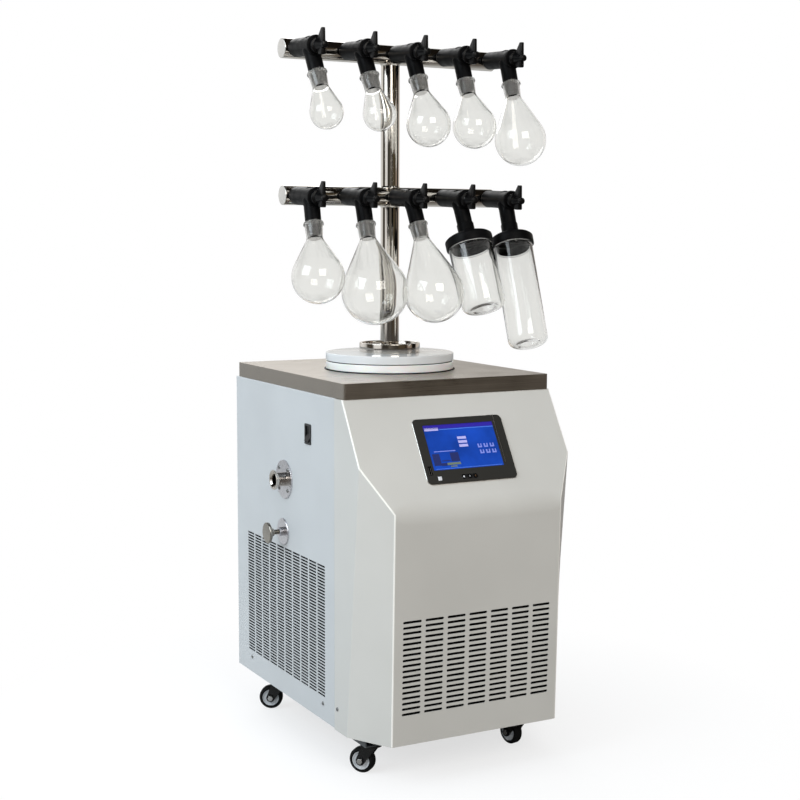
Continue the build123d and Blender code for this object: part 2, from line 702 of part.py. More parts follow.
def lid():
    """Clear disc with a spigot that centres it in the collar, bored for the manifold."""
    bore = TUBE_RADIUS + 0.5
    disc = turned(
        [
            (bore, LID_Z - LID_SPIGOT_DEPTH), (LID_SPIGOT_RADIUS, LID_Z - LID_SPIGOT_DEPTH),
            (LID_SPIGOT_RADIUS, LID_Z), (COLLAR_RADIUS, LID_Z), (COLLAR_RADIUS, FLANGE_Z), (bore, FLANGE_Z),
        ]
    )
    rims = disc.edges().filter_by(GeomType.CIRCLE).group_by(SortBy.RADIUS)[-1]
    return fillet(rims, 1.5)


# ================================================================ manifold
def manifold_column():
    """Polished flange and column, in two lengths with the lower bar welded between them."""
    spigot = LID_THICK + LID_SPIGOT_DEPTH
    bore = TUBE_RADIUS - TUBE_WALL
    flange = turned([(0, FLANGE_Z), (FLANGE_RADIUS, FLANGE_Z), (FLANGE_RADIUS, FLANGE_TOP_Z), (0, FLANGE_TOP_Z)])
    top_rim = flange.edges().filter_by(GeomType.CIRCLE).group_by(Axis.Z)[-1]
    flange = fillet(top_rim, 1.5)
    flange += rod(TUBE_RADIUS, (0, 0, FLANGE_Z - spigot), (0, 0, FLANGE_Z))
    lower = flange + rod(TUBE_RADIUS, (0, 0, FLANGE_TOP_Z), (0, 0, LOWER_BAR_Z))
    lower -= rod(bore, (0, 0, FLANGE_Z - spigot - 1), (0, 0, LOWER_BAR_Z))
    upper = pipe(TUBE_RADIUS, bore, (0, 0, LOWER_BAR_Z), (0, 0, UPPER_BAR_Z))
    for row, z in BAR_Z.items():
        bar = rod(TUBE_RADIUS, (-BAR_HALF_LENGTH, 0, z), (BAR_HALF_LENGTH, 0, z))
        bar += port_plane(row, PORTS_PER_BAR // 2) * rod(NIPPLE_RADIUS, (0, 0, 0), (0, 0, NIPPLE_END))
        lower -= bar
        upper -= bar
    return Compound([lower.solid(), upper.solid()])


def crossbar(row):
    """A capped tube with its row of valve nipples, open to the column."""
    z = BAR_Z[row]
    bore = TUBE_RADIUS - TUBE_WALL
    cap = 3.0
    ends = [(side * BAR_HALF_LENGTH, 0, z) for side in (-1, 1)]
    bar = rod(TUBE_RADIUS, *ends)
    rims = bar.edges().filter_by(GeomType.CIRCLE)
    bar = fillet(rims, 1.2)
    cavity = rod(bore, (-BAR_HALF_LENGTH + cap, 0, z), (BAR_HALF_LENGTH - cap, 0, z))
    for i in range(PORTS_PER_BAR):
        bar += port_plane(row, i) * rod(NIPPLE_RADIUS, (0, 0, 0), (0, 0, NIPPLE_END))
    for i in range(PORTS_PER_BAR):
        cavity += port_plane(row, i) * rod(NIPPLE_BORE, (0, 0, 0), (0, 0, NIPPLE_END + 1))
    column_top = UPPER_BAR_Z if row == "upper" else LOWER_BAR_Z + TUBE_RADIUS + 1
    cavity += rod(bore, (0, 0, z - TUBE_RADIUS - 1), (0, 0, column_top))
    return bar - cavity


def port_plane(row, index):
    """A valve's own frame: Z out along its sleeve from the bar's axis, Y up."""
    droop = math.radians(VALVE_DROOP)
    return Plane(
        origin=(PORT_X[index], 0, BAR_Z[row]),
        x_dir=(1, 0, 0),
        z_dir=(0, -math.cos(droop), -math.sin(droop)),
    )


def hanging(row, index, shape):
    """Place a shape from a valve's own frame, swung about the sleeve."""
    return port_plane(row, index).location * Rot(0, 0, SWING[row][index]) * shape


def branch_plane():
    """The branch's frame within a valve: Z down the branch from the sleeve's axis."""
    lean = math.radians(BRANCH_LEAN)
    return Plane(origin=(0, 0, BRANCH_AT), x_dir=(1, 0, 0), z_dir=(0, -math.cos(lean), math.sin(lean)))


def valve_body():
    """Rubber tee: a sleeve over the nipple and knob core, and a branch with a tapered plug."""
    chamber = CORE_RADIUS + RUNNING_CLEARANCE
    droop = math.radians(VALVE_DROOP)
    start = TUBE_RADIUS / math.cos(droop) + SLEEVE_RADIUS * math.tan(droop) + 0.3
    body = turned(
        [
            (0, start), (SLEEVE_RADIUS - 2, start), (SLEEVE_RADIUS, start + 6),
            (SLEEVE_RADIUS, SLEEVE_END - SLEEVE_RIM), (SLEEVE_RIM_RADIUS, SLEEVE_END - SLEEVE_RIM + 1.5),
            (SLEEVE_RIM_RADIUS, SLEEVE_END), (0, SLEEVE_END),
        ]
    )
    branch = turned(
        [
            (0, 0), (BRANCH_RADIUS + 1, 0), (BRANCH_RADIUS, BRANCH_LENGTH - 6), (BRANCH_RADIUS, BRANCH_LENGTH),
            (PLUG_TOP_RADIUS, BRANCH_LENGTH), (PLUG_TIP_RADIUS, BRANCH_LENGTH + PLUG_LENGTH),
            (0, BRANCH_LENGTH + PLUG_LENGTH),
        ]
    )
    body += branch_plane() * branch
    body -= turned(
        [
            (0, start - 1), (NIPPLE_RADIUS + 0.05, start - 1), (NIPPLE_RADIUS + 0.05, NIPPLE_END),
            (NIPPLE_BORE, NIPPLE_END), (NIPPLE_BORE, CORE_START - 2), (chamber, CORE_START - 2),
            (chamber, SLEEVE_END + 1), (0, SLEEVE_END + 1),
        ]
    )
    body -= branch_plane() * rod(BRANCH_BORE, (0, 0, 0), (0, 0, BRANCH_LENGTH + PLUG_LENGTH + 1))
    return body


def valve_knob():
    """Ported core, collar and pointer handle that turn together about the sleeve's axis."""
    collar_low = SLEEVE_END + KNOB_GAP
    collar_high = collar_low + KNOB_COLLAR
    neck_high = collar_high + KNOB_NECK
    blade_high = collar_high + BLADE_DEPTH
    knob = turned(
        [
            (0, CORE_START), (CORE_RADIUS, CORE_START), (CORE_RADIUS, collar_low),
            (KNOB_COLLAR_RADIUS, collar_low), (KNOB_COLLAR_RADIUS, collar_high),
            (KNOB_COLLAR_RADIUS - 4, collar_high), (KNOB_COLLAR_RADIUS - 5, neck_high),
            (BOSS_RADIUS, blade_high), (BOSS_RADIUS, blade_high + BOSS_LENGTH - 1.5),
            (BOSS_RADIUS - 1.5, blade_high + BOSS_LENGTH), (0, blade_high + BOSS_LENGTH),
        ]
    )
    tip = BLADE_THICK
    profile = Polyline(
        (BLADE_LONG, blade_high - tip), (BLADE_LONG, blade_high - 1), (BLADE_LONG - 1, blade_high),
        (-BLADE_SHORT + 2, blade_high), (-BLADE_SHORT, blade_high - 2), (-BLADE_SHORT, blade_high - tip - 3),
        (-BLADE_SHORT / 2, collar_high + 1), (BLADE_LONG / 3, collar_high + 1), close=True,
    )
    side = Plane(origin=(-BLADE_THICK / 2, 0, 0), x_dir=(0, 1, 0), z_dir=(1, 0, 0))
    blade = side * extrude(make_face(profile), amount=BLADE_THICK)
    knob += fillet(blade.edges().filter_by(Axis.X).group_by(Axis.Y)[-1], 2.0)
    knob -= rod(CORE_BORE, (0, 0, CORE_START - 1), (0, 0, BRANCH_AT + CORE_BORE))
    return knob - rod(CORE_BORE, (0, 0, BRANCH_AT), (0, -CORE_RADIUS - 1, BRANCH_AT))


# ================================================================ vessels
def pear_solid(top_radius, foot_radius, neck_low, bulb_radius, bulb_depth, top):
    """A solid pear about Z. The neck tapers from the top to its foot, then flares to the bulb."""
    drop = bulb_depth - neck_low
    reach = math.hypot(foot_radius, drop)
    angle = math.acos(bulb_radius / reach) + math.atan2(foot_radius, drop)
    touch = (bulb_radius * math.sin(angle), bulb_depth - bulb_radius * math.cos(angle))
    middle_angle = (angle + math.pi) / 2
    middle = (bulb_radius * math.sin(middle_angle), bulb_depth - bulb_radius * math.cos(middle_angle))
    bottom = (0, bulb_depth + bulb_radius)
    outline = Polyline((0, top), (top_radius, top), (foot_radius, neck_low), touch)
    belly = ThreePointArc(touch, middle, bottom)
    axis = Line(bottom, (0, top))
    return revolve(Plane.XZ * make_face([outline, belly, axis]), Axis.Z)


def flask(bulb_radius, bulb_depth):
    """A pear-shaped flask hanging from its beaded mouth, which lies at Z = 0 with the body along +Z."""
    outer = pear_solid(NECK_TOP_RADIUS, NECK_FOOT_RADIUS, NECK_LENGTH, bulb_radius, bulb_depth, 0)
    bead = turned(
        [
            (0, 0), (BEAD_RADIUS - 1, 0), (BEAD_RADIUS, 1.5), (BEAD_RADIUS, BEAD_HEIGHT - 2),
            (BEAD_RADIUS - 1.5, BEAD_HEIGHT), (0, BEAD_HEIGHT),
        ]
    )
    inner = pear_solid(
        MOUTH_RADIUS, NECK_FOOT_RADIUS - GLASS_WALL, NECK_LENGTH, bulb_radius - GLASS_WALL, bulb_depth, -1
    )
    return outer + bead - inner


def jar(radius, height):
    """A wide-mouthed straight jar. Its rim lies at Z = 0 and its base towards +Z."""
    outer = Cylinder(radius, height, align=(Align.CENTER, Align.CENTER, Align.MIN))
    outer = fillet(outer.edges().group_by(Axis.Z)[-1], JAR_CORNER)
    inner = Pos(0, 0, -1) * Cylinder(
        radius - JAR_WALL, height - JAR_WALL + 1, align=(Align.CENTER, Align.CENTER, Align.MIN)
    )
    inner = fillet(inner.edges().group_by(Axis.Z)[-1], JAR_CORNER - JAR_WALL)
    return outer - inner


def jar_cap(radius):
    """A rubber cap with a neck that takes the valve's plug. The neck's mouth lies at Z = 0."""
    outer = radius + CAP_WALL
    rim_z = CAP_NECK + CAP_TOP
    cap = turned(
        [
            (MOUTH_RADIUS, 0), (CAP_NECK_RADIUS, 0), (CAP_NECK_RADIUS, CAP_NECK - 6),
            (CAP_NECK_RADIUS + 6, CAP_NECK), (outer - 3, CAP_NECK), (outer, CAP_NECK + 3),
            (outer, rim_z + CAP_SKIRT), (radius, rim_z + CAP_SKIRT), (radius, rim_z),
            (MOUTH_RADIUS, rim_z),
        ]
    )
    return cap


def on_branch(row, index, depth, shape):
    """Hang a shape on a valve's branch, the given depth below the branch's shoulder."""
    return hanging(row, index, branch_plane().location * Pos(0, 0, BRANCH_LENGTH + depth) * shape)


# ================================================================ control panel
def on_slope(x, down, lift=0.0):
    """A place on the sloping control panel, measured down from its top edge."""
    return SLOPE.location * Pos(x, -down, lift)


def screen_bezel():
    centre = on_slope(0, BEZEL_TOP_DOWN + BEZEL_HEIGHT / 2)
    plate = extrude(RectangleRounded(BEZEL_WIDTH, BEZEL_HEIGHT, BEZEL_CORNER), amount=BEZEL_THICK)
    plate = chamfer(plate.faces().sort_by(Axis.Z)[-1].edges(), 1.0)
    plate = centre * plate
    plate -= on_slope(DISPLAY_SHIFT, DISPLAY_TOP_DOWN + DISPLAY_HEIGHT / 2) * Box(
        DISPLAY_WIDTH, DISPLAY_HEIGHT, 4 * BEZEL_THICK
    )
    for x in light_positions():
        plate -= on_slope(x, LIGHT_DOWN) * Cylinder(LIGHT_RADIUS, 4 * BEZEL_THICK)
    plate -= on_slope(SQUARE_X, LIGHT_DOWN) * Box(SQUARE_SIDE, SQUARE_SIDE, 4 * BEZEL_THICK)
    return plate - on_slope(USB_X, USB_DOWN) * Box(USB_WIDTH, USB_HEIGHT, 4 * BEZEL_THICK)


def light_positions():
    return [LIGHT_X + (i - 1) * LIGHT_PITCH for i in range(3)]


def screen_display():
    """The display module: its glass just below the bezel's face, its case behind the sheet."""
    centre = on_slope(DISPLAY_SHIFT, DISPLAY_TOP_DOWN + DISPLAY_HEIGHT / 2)
    glass_top = BEZEL_THICK - 1.0
    glass = Pos(0, 0, (glass_top - SHEET) / 2) * Box(DISPLAY_WIDTH, DISPLAY_HEIGHT, glass_top + SHEET)
    case = Pos(0, 0, -SHEET - DISPLAY_DEPTH / 2) * Box(DISPLAY_WIDTH + 14, DISPLAY_HEIGHT + 12, DISPLAY_DEPTH)
    return centre * (glass + case)


def bezel_fittings():
    """Three round status lights, a small square lens and the data port's cover."""
    top = BEZEL_THICK + 0.8
    pieces = [
        on_slope(x, LIGHT_DOWN) * Cylinder(LIGHT_RADIUS, top, align=(Align.CENTER, Align.CENTER, Align.MIN))
        for x in light_positions()
    ]
    pieces.append(
        on_slope(SQUARE_X, LIGHT_DOWN)
        * Box(SQUARE_SIDE, SQUARE_SIDE, BEZEL_THICK, align=(Align.CENTER, Align.CENTER, Align.MIN))
    )
    pieces.append(
        on_slope(USB_X, USB_DOWN)
        * Box(USB_WIDTH, USB_HEIGHT, BEZEL_THICK - 0.5, align=(Align.CENTER, Align.CENTER, Align.MIN))
    )
    return Compound(pieces)


# ================================================================ side fittings
def vacuum_port():
    """Polished plate and small vacuum flange, with its pipe run in to the cold trap."""
    face_x = -HALF_WIDTH - PORT_REACH
    plate_x = -HALF_WIDTH - PORT_PLATE_THICK
    pot_x = -math.sqrt(POT_RADIUS**2 - PORT_Y**2) + 0.5
    plate = rod(PORT_PLATE_RADIUS, (plate_x, PORT_Y, PORT_Z), (-HALF_WIDTH, PORT_Y, PORT_Z))
    plate = chamfer(plate.edges().filter_by(GeomType.CIRCLE).group_by(Axis.X)[0], 0.8)
    tube = rod(PORT_TUBE_RADIUS, (face_x + 1, PORT_Y, PORT_Z), (pot_x, PORT_Y, PORT_Z))
    flange = turned(
        [
            (0, 0), (PORT_FLANGE_RADIUS, 0), (PORT_FLANGE_RADIUS, 3),
            (PORT_TUBE_RADIUS, 3 + (PORT_FLANGE_RADIUS - PORT_TUBE_RADIUS) * math.tan(math.radians(15))),
            (0, 3 + (PORT_FLANGE_RADIUS - PORT_TUBE_RADIUS) * math.tan(math.radians(15))),
        ]
    )
    flange = Plane(origin=(face_x, PORT_Y, PORT_Z), z_dir=(1, 0, 0)) * flange
    port = plate + tube + flange
    port -= rod(PORT_BORE_RADIUS, (face_x - 1, PORT_Y, PORT_Z), (pot_x + 10, PORT_Y, PORT_Z))
    port -= rod(PORT_RECESS_RADIUS, (face_x - 1, PORT_Y, PORT_Z), (face_x + 4, PORT_Y, PORT_Z))
    return port - rod(POT_RADIUS, (0, 0, PORT_Z - 40), (0, 0, PORT_Z + 40))


def drain_valve_body():
    """Round plate and barrel on the side panel, with the pipe down from the pot."""
    plate_x = -HALF_WIDTH - PORT_PLATE_THICK
    end_x = plate_x - DRAIN_BARREL
    plate = rod(DRAIN_PLATE_RADIUS, (plate_x, DRAIN_Y, DRAIN_Z), (-HALF_WIDTH, DRAIN_Y, DRAIN_Z))
    plate = chamfer(plate.edges().filter_by(GeomType.CIRCLE).group_by(Axis.X)[0], 0.8)
    barrel = rod(DRAIN_BARREL_RADIUS, (end_x, DRAIN_Y, DRAIN_Z), (plate_x, DRAIN_Y, DRAIN_Z))
    turn = (0, 0, DRAIN_Z)
    corner = (0, DRAIN_Y, DRAIN_Z)
    body = plate + barrel
    for start, end in (((0, 0, POT_BOTTOM_Z), turn), (turn, corner), (corner, (-HALF_WIDTH, DRAIN_Y, DRAIN_Z))):
        body += rod(DRAIN_PIPE_RADIUS, start, end)
    for joint in (turn, corner):
        body += Pos(*joint) * Sphere(DRAIN_PIPE_RADIUS)
    for start, end in (
        ((0, 0, POT_BOTTOM_Z + 1), turn), (turn, corner), (corner, (-HALF_WIDTH, DRAIN_Y, DRAIN_Z)),
    ):
        body -= rod(DRAIN_PIPE_BORE, start, end)
    stem_bore = DRAIN_STEM_RADIUS + RUNNING_CLEARANCE
    return body - rod(stem_bore, (end_x - 1, DRAIN_Y, DRAIN_Z), (-HALF_WIDTH, DRAIN_Y, DRAIN_Z))


def drain_knob():
    """Flat-faced knob with a coned back, on its valve stem."""
    face_x = -HALF_WIDTH - DRAIN_REACH
    stem_end = -HALF_WIDTH - 0.5
    barrel_x = -HALF_WIDTH - PORT_PLATE_THICK - DRAIN_BARREL
    knob_back = barrel_x - face_x - 11
    knob = turned(
        [
            (0, 0), (DRAIN_KNOB_RADIUS - 1, 0), (DRAIN_KNOB_RADIUS, 1), (DRAIN_KNOB_RADIUS, 5),
            (DRAIN_STEM_RADIUS + 3, 12), (DRAIN_STEM_RADIUS + 3, knob_back), (DRAIN_STEM_RADIUS, knob_back),
            (DRAIN_STEM_RADIUS, stem_end - face_x), (0, stem_end - face_x),
        ]
    )
    return Plane(origin=(face_x, DRAIN_Y, DRAIN_Z), z_dir=(1, 0, 0)) * knob


def power_switch_frame():
    """Snap-in frame of the mains switch, hollow for the rocker."""
    inner_width = SWITCH_WIDTH - 2 * SWITCH_RIM
    inner_height = SWITCH_HEIGHT - 2 * SWITCH_RIM
    centre = LEFT_FACE.location * Pos(SWITCH_Y, SWITCH_Z, 0)
    rim = Pos(0, 0, -SWITCH_RIM) * extrude(
        RectangleRounded(SWITCH_WIDTH, SWITCH_HEIGHT, 2.5), amount=SWITCH_RIM
    )
    case = extrude(Rectangle(inner_width, inner_height), amount=SWITCH_DEPTH)
    well = Pos(0, 0, -SWITCH_RIM - 1) * extrude(
        Rectangle(inner_width - 4, inner_height - 4), amount=SWITCH_RIM + 1 + SWITCH_DEPTH - 2
    )
    return centre * (rim + case - well)


def power_switch_rocker():
    """Rocker with two faces meeting at its middle, tipped so that its lower half stands out."""
    width = SWITCH_WIDTH - 2 * SWITCH_RIM - 4 - 0.8
    half = (SWITCH_HEIGHT - 2 * SWITCH_RIM - 4) / 2 - 1.2
    face = Polyline(
        (-half, -4.5), (0, -1.5), (half, -4.5), (half - 1.5, 5), (3, 9), (-3, 9), (-half + 1.5, 5),
        close=True,
    )
    rocker = Plane(origin=(-width / 2, 0, 0), x_dir=(0, 1, 0), z_dir=(1, 0, 0)) * extrude(
        make_face(face), amount=width
    )
    return LEFT_FACE.location * Pos(SWITCH_Y, SWITCH_Z, ROCKER_AXIS_DEPTH) * Rot(ROCKER_TILT, 0, 0) * rocker


ROCKER_AXIS_DEPTH = 2.0


def power_inlet():
    """Recessed three-pin mains inlet on the rear panel."""
    centre = REAR_FACE.location * Pos(INLET_X, INLET_Z, 0)
    rim = Pos(0, 0, -2.5) * extrude(RectangleRounded(INLET_WIDTH, INLET_HEIGHT, 3), amount=2.5)
    case = extrude(Rectangle(INLET_WIDTH - 4, INLET_HEIGHT - 4), amount=20)
    well = Pos(0, 0, -3) * extrude(Rectangle(INLET_WIDTH - 20, INLET_HEIGHT - 10), amount=18)
    inlet = rim + case - well
    for x in (-7, 0, 7):
        inlet += Pos(x, 0, 8) * Box(4, 2, 14)
    return centre * inlet


def screw_places():
    """Every panel screw: a point on the surface and the direction it faces."""
    left, right = (-1, 0, 0), (1, 0, 0)
    places = []
    for side, facing in ((-1, left), (1, right)):
        for y in (SEAM_Y + 40, CABINET_REAR - 80):
            places.append(((side * HALF_WIDTH, y, PANEL_BOTTOM + 36), facing))
        places.append(((side * HALF_WIDTH, SEAM_Y - 24, PANEL_BOTTOM + 43), facing))
    for x in (-HALF_WIDTH + 9, HALF_WIDTH - 9):
        for z in (PANEL_BOTTOM + 36, PANEL_TOP - 30):
            places.append(((x, CABINET_REAR, z), (0, 1, 0)))
    for angle in (45, 135, 225, 315):
        dy = 0.76 * PORT_PLATE_RADIUS * math.cos(math.radians(angle))
        dz = 0.76 * PORT_PLATE_RADIUS * math.sin(math.radians(angle))
        places.append(((-HALF_WIDTH - PORT_PLATE_THICK, PORT_Y + dy, PORT_Z + dz), left))
    return places


def panel_screws():
    """Domed screw heads with a driver recess."""
    head = turned([(0, 0), (SCREW_RADIUS, 0), (SCREW_RADIUS * 0.75, SCREW_HEAD), (0, SCREW_HEAD)])
    head -= Pos(0, 0, SCREW_HEAD) * Box(SCREW_RADIUS, 1.0, 1.6)
    head -= Pos(0, 0, SCREW_HEAD) * Box(1.0, SCREW_RADIUS, 1.6)
    return Compound([Plane(origin=point, z_dir=facing) * head for point, facing in screw_places()])


# ================================================================ machinery
def condenser():
    """Fin pack between two header plates, standing in the floor pan."""
    low = (-CONDENSER_WIDTH / 2, CONDENSER_Y, PAN_TOP_Z)
    high = (CONDENSER_WIDTH / 2, CONDENSER_Y + CONDENSER_DEPTH, PAN_TOP_Z + CONDENSER_HEIGHT)
    header = 6.0
    pack = box_between(low, high)
    pitch = (CONDENSER_WIDTH - 2 * header) / CONDENSER_FINS
    slit = pitch * 0.55
    for i in range(CONDENSER_FINS):
        x = low[0] + header + (i + 0.5) * pitch
        pack -= box_between(
            (x - slit / 2, low[1] - 1, low[2] + header), (x + slit / 2, low[1] + CONDENSER_DEPTH / 3, high[2] - header)
        )
    return pack


def fan_centre():
    return (0, CONDENSER_Y + CONDENSER_DEPTH + SHROUD_DEPTH / 2, PAN_TOP_Z + CONDENSER_HEIGHT / 2)


def fan_shroud():
    """Square frame and ring behind the condenser, with four arms to the fan motor."""
    x, y, z = fan_centre()
    front = CONDENSER_Y + CONDENSER_DEPTH
    rear = front + SHROUD_DEPTH
    bore = FAN_RADIUS + FAN_TIP_GAP
    half = bore + 8
    shroud = box_between((-half, front, PAN_TOP_Z), (half, rear, PAN_TOP_Z + CONDENSER_HEIGHT))
    shroud -= rod(bore, (x, front - 1, z), (x, rear + 1, z))
    arm_reach = bore + 6
    arm = Pos(arm_reach / 2, 0, 0) * Box(arm_reach, SHROUD_ARM, SHROUD_ARM_THICK)
    frame = Plane(origin=(x, rear + SHROUD_ARM_THICK / 2, z), z_dir=(0, 1, 0))
    for i in range(4):
        shroud += frame * Rot(0, 0, 45 + 90 * i) * arm
    shroud += rod(FAN_HUB_RADIUS, (x, rear, z), (x, rear + FAN_MOTOR, z))
    return shroud + rod(FAN_SHAFT_RADIUS, (x, front + 4, z), (x, rear + 1, z))


def fan_rotor():
    """Hub with pitched blades, turning on the motor's shaft."""
    x, y, z = fan_centre()
    rotor = Cylinder(FAN_HUB_RADIUS, FAN_HUB)
    blade_length = FAN_RADIUS - FAN_HUB_RADIUS + 4
    blade = Pos(FAN_HUB_RADIUS - 4 + blade_length / 2, 0, 0) * Rot(35, 0, 0) * Box(blade_length, 30, 2.0)
    for i in range(FAN_BLADES):
        rotor += Rot(0, 0, i * 360 / FAN_BLADES) * blade
    rotor &= Cylinder(FAN_RADIUS, FAN_HUB)
    rotor -= Cylinder(FAN_SHAFT_RADIUS + RUNNING_CLEARANCE, FAN_HUB + 2)
    return Plane(origin=(x, y, z), z_dir=(0, 1, 0)) * rotor


def compressor():
    """Hermetic compressor on its base plate and four feet."""
    foot = 12.0
    plate_z = PAN_TOP_Z + foot
    top = PAN_TOP_Z + COMPRESSOR_HEIGHT
    crown = COMPRESSOR_RADIUS * 0.35
    shell = Cylinder(COMPRESSOR_RADIUS, top - plate_z, align=(Align.CENTER, Align.CENTER, Align.MIN))
    shell = fillet(shell.edges().filter_by(GeomType.CIRCLE).group_by(Axis.Z)[-1], crown)
    shell = Pos(0, 0, plate_z) * shell
    seam = Pos(0, 0, plate_z + (top - plate_z) * 0.6) * Cylinder(COMPRESSOR_RADIUS + 3, 4)
    half = COMPRESSOR_RADIUS + 8
    plate = box_between((-half, -half * 0.8, plate_z), (half, half * 0.8, plate_z + 4))
    unit = shell + seam + plate
    for sx in (-1, 1):
        for sy in (-1, 1):
            unit += rod(9, (sx * (half - 11), sy * (half * 0.8 - 11), PAN_TOP_Z), (sx * (half - 11), sy * (half * 0.8 - 11), plate_z))
    return Pos(COMPRESSOR_X, COMPRESSOR_Y, 0) * unit


def control_box():
    """Closed electrical box fixed inside the right side panel."""
    inner_x = HALF_WIDTH - SHEET
    box = box_between(
        (inner_x - BOX_WIDTH, BOX_Y - BOX_LENGTH / 2, BOX_Z), (inner_x, BOX_Y + BOX_LENGTH / 2, BOX_Z + BOX_HEIGHT)
    )
    return fillet(box.edges().filter_by(Axis.Z), 2.0)


# ================================================================ build
def main():
    os.makedirs("parts", exist_ok=True)
    save("base_frame", base_frame())
    save("front_panel", front_panel())
    save("left_side_panel", left_side_panel())
    save("right_side_panel", right_side_panel())
    save("rear_panel", rear_panel())
    save("worktop", worktop())
    save("panel_screws", panel_screws())

    save("screen_bezel", screen_bezel())
    save("screen_display", screen_display())
    save("bezel_fittings", bezel_fittings())
    save("vacuum_port", vacuum_port())
    save("drain_valve_body", drain_valve_body())
    save("drain_knob", drain_knob())
    save("power_switch_frame", power_switch_frame())
    save("power_switch_rocker", power_switch_rocker())
    save("power_inlet", power_inlet())

    save("trap_pot", trap_pot())
    save("evaporator_coil", evaporator_coil())
    save("trap_insulation", trap_insulation())
    save("trap_collar", trap_collar())
    save("trap_seals", trap_seals())
    save("lid", lid())

    save("manifold_column", manifold_column())
    body = valve_body()
    knob = valve_knob()
    for row in ("upper", "lower"):
        save(row + "_crossbar", crossbar(row))
        save(row + "_valve_bodies", Compound([hanging(row, i, body) for i in range(PORTS_PER_BAR)]))
        for i in range(PORTS_PER_BAR):
            save(f"{row}_valve_knob_{i + 1}", port_plane(row, i).location * knob)

    for name, (bulb_radius, bulb_depth, places) in FLASKS.items():
        glass = flask(bulb_radius, bulb_depth)
        save(name, Compound([on_branch(row, i, 0, glass) for row, i in places]))
    caps = []
    for name, (radius, height, i) in JARS.items():
        save(name, on_branch("lower", i, CAP_NECK + CAP_TOP, jar(radius, height)))
        caps.append(on_branch("lower", i, 0, jar_cap(radius)))
    save("jar_caps", Compound(caps))

    save("caster_plates", Compound([caster_plate(x, y) for x, y, angle in CASTERS.values()]))
    fork = caster_fork()
    wheel = caster_wheel()
    for name in CASTERS:
        save(name + "_caster_fork", on_caster(name, fork))
        save(name + "_caster_wheel", on_caster(name, wheel))

    save("condenser", condenser())
    save("fan_shroud", fan_shroud())
    save("fan_rotor", fan_rotor())
    save("compressor", compressor())
    save("control_box", control_box())


main()
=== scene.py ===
"""Freeze dryer: glass, rubber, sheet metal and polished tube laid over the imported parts."""

import json
import math
from collections import namedtuple

import bmesh
import bpy
from bpy.props import FloatProperty, PointerProperty, StringProperty
from mathutils import Matrix, Vector
from mathutils.geometry import intersect_point_line


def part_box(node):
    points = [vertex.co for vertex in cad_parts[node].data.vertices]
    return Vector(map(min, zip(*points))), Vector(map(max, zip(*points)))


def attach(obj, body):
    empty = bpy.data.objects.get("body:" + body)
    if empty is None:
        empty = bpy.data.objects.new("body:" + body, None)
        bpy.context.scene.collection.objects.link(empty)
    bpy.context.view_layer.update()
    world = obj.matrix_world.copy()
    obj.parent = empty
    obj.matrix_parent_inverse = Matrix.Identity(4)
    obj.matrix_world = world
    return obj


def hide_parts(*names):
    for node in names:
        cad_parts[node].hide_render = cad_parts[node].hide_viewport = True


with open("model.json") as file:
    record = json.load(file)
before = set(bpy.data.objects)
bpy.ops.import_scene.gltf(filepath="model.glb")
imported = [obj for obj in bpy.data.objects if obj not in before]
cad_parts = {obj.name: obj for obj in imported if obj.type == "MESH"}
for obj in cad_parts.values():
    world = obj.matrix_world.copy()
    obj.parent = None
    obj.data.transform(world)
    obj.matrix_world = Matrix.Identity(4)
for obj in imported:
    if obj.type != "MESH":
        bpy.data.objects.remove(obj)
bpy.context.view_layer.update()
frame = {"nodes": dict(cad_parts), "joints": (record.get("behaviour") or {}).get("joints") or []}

bl_info = {
    "name": "Freeze Dryer Dressing",
    "version": (1, 0, 0),
    "blender": (4, 5, 0),
    "location": "View3D > Sidebar > Freeze Dryer",
    "description": "Dresses a laboratory freeze dryer in its real finishes",
    "category": "Object",
}

MM = 0.001
NODES = frame["nodes"]
JOINTS = {joint["name"]: joint for joint in frame["joints"]}
ROWS = ("upper", "lower")
PORTS = range(1, 6)
CABINET = "cabinet"

# ---------------------------------------------------------------- sizes in millimetres
Grille = namedtuple("Grille", "columns rows pitch_across pitch_up first_across first_up width height")

# The folded front: its long folds are given as (y, z).
HALF_WIDTH = 228.5
SLOPE_TOP = (-245.0, 721.0)
BROW = (-365.0, 522.5)
FOOT = (-355.0, 86.0)
BROW_ROLL = 24.0
BROW_RUN_OUT = 30.0
CORNER_TOP_Z = 605.0
CORNER_FOOT_Y = -266.0
FRONT_HALF = 180.0  # to where the corner facets begin
FACET_COLUMNS = 8
FACET_ROWS = 24
ROLL_STEPS = 6
SEAM = -212.5
SHELL_REAR = SEAM - 0.4  # the shell stops a little short of the seam
RETURN_WIDTH = 16.0
SIDE_FOLD = 1.6
SHEET = 1.2
FRONT_GRILLE = Grille(7, 18, 46.9, 10.25, -140.7, 145.5, 39.0, 4.9)
SIDE_GRILLE = Grille(10, 43, 38.9, 6.05, -153.5, 138.0, 34.0, 3.8)
ROUND_HOLES = ((17.5, 535.0, 15.5), (24.0, 427.0, 11.0))  # y, z and radius, behind port and drain
SWITCH_HOLE = (-97.0, 640.0, 23.0, 36.0)  # y, z, width and height
DISPLAY_HOLE = (-80.2, 76.2, -156.0, -60.6)  # left, right, low and high on the slope
# Opposite corners of the near-black sheets behind the grilles, painted shade for the cabinet's dark inside; the
# front one lies in the front's own plane.
SIDE_SHADE_SHEET = ((-HALF_WIDTH + 1.7, -191.0, 132.0), (-HALF_WIDTH + 3.0, 231.0, 400.0))
FRONT_SHADE_SHEET = ((-164.0, 54.0, -3.2), (164.0, 244.0, -1.7))

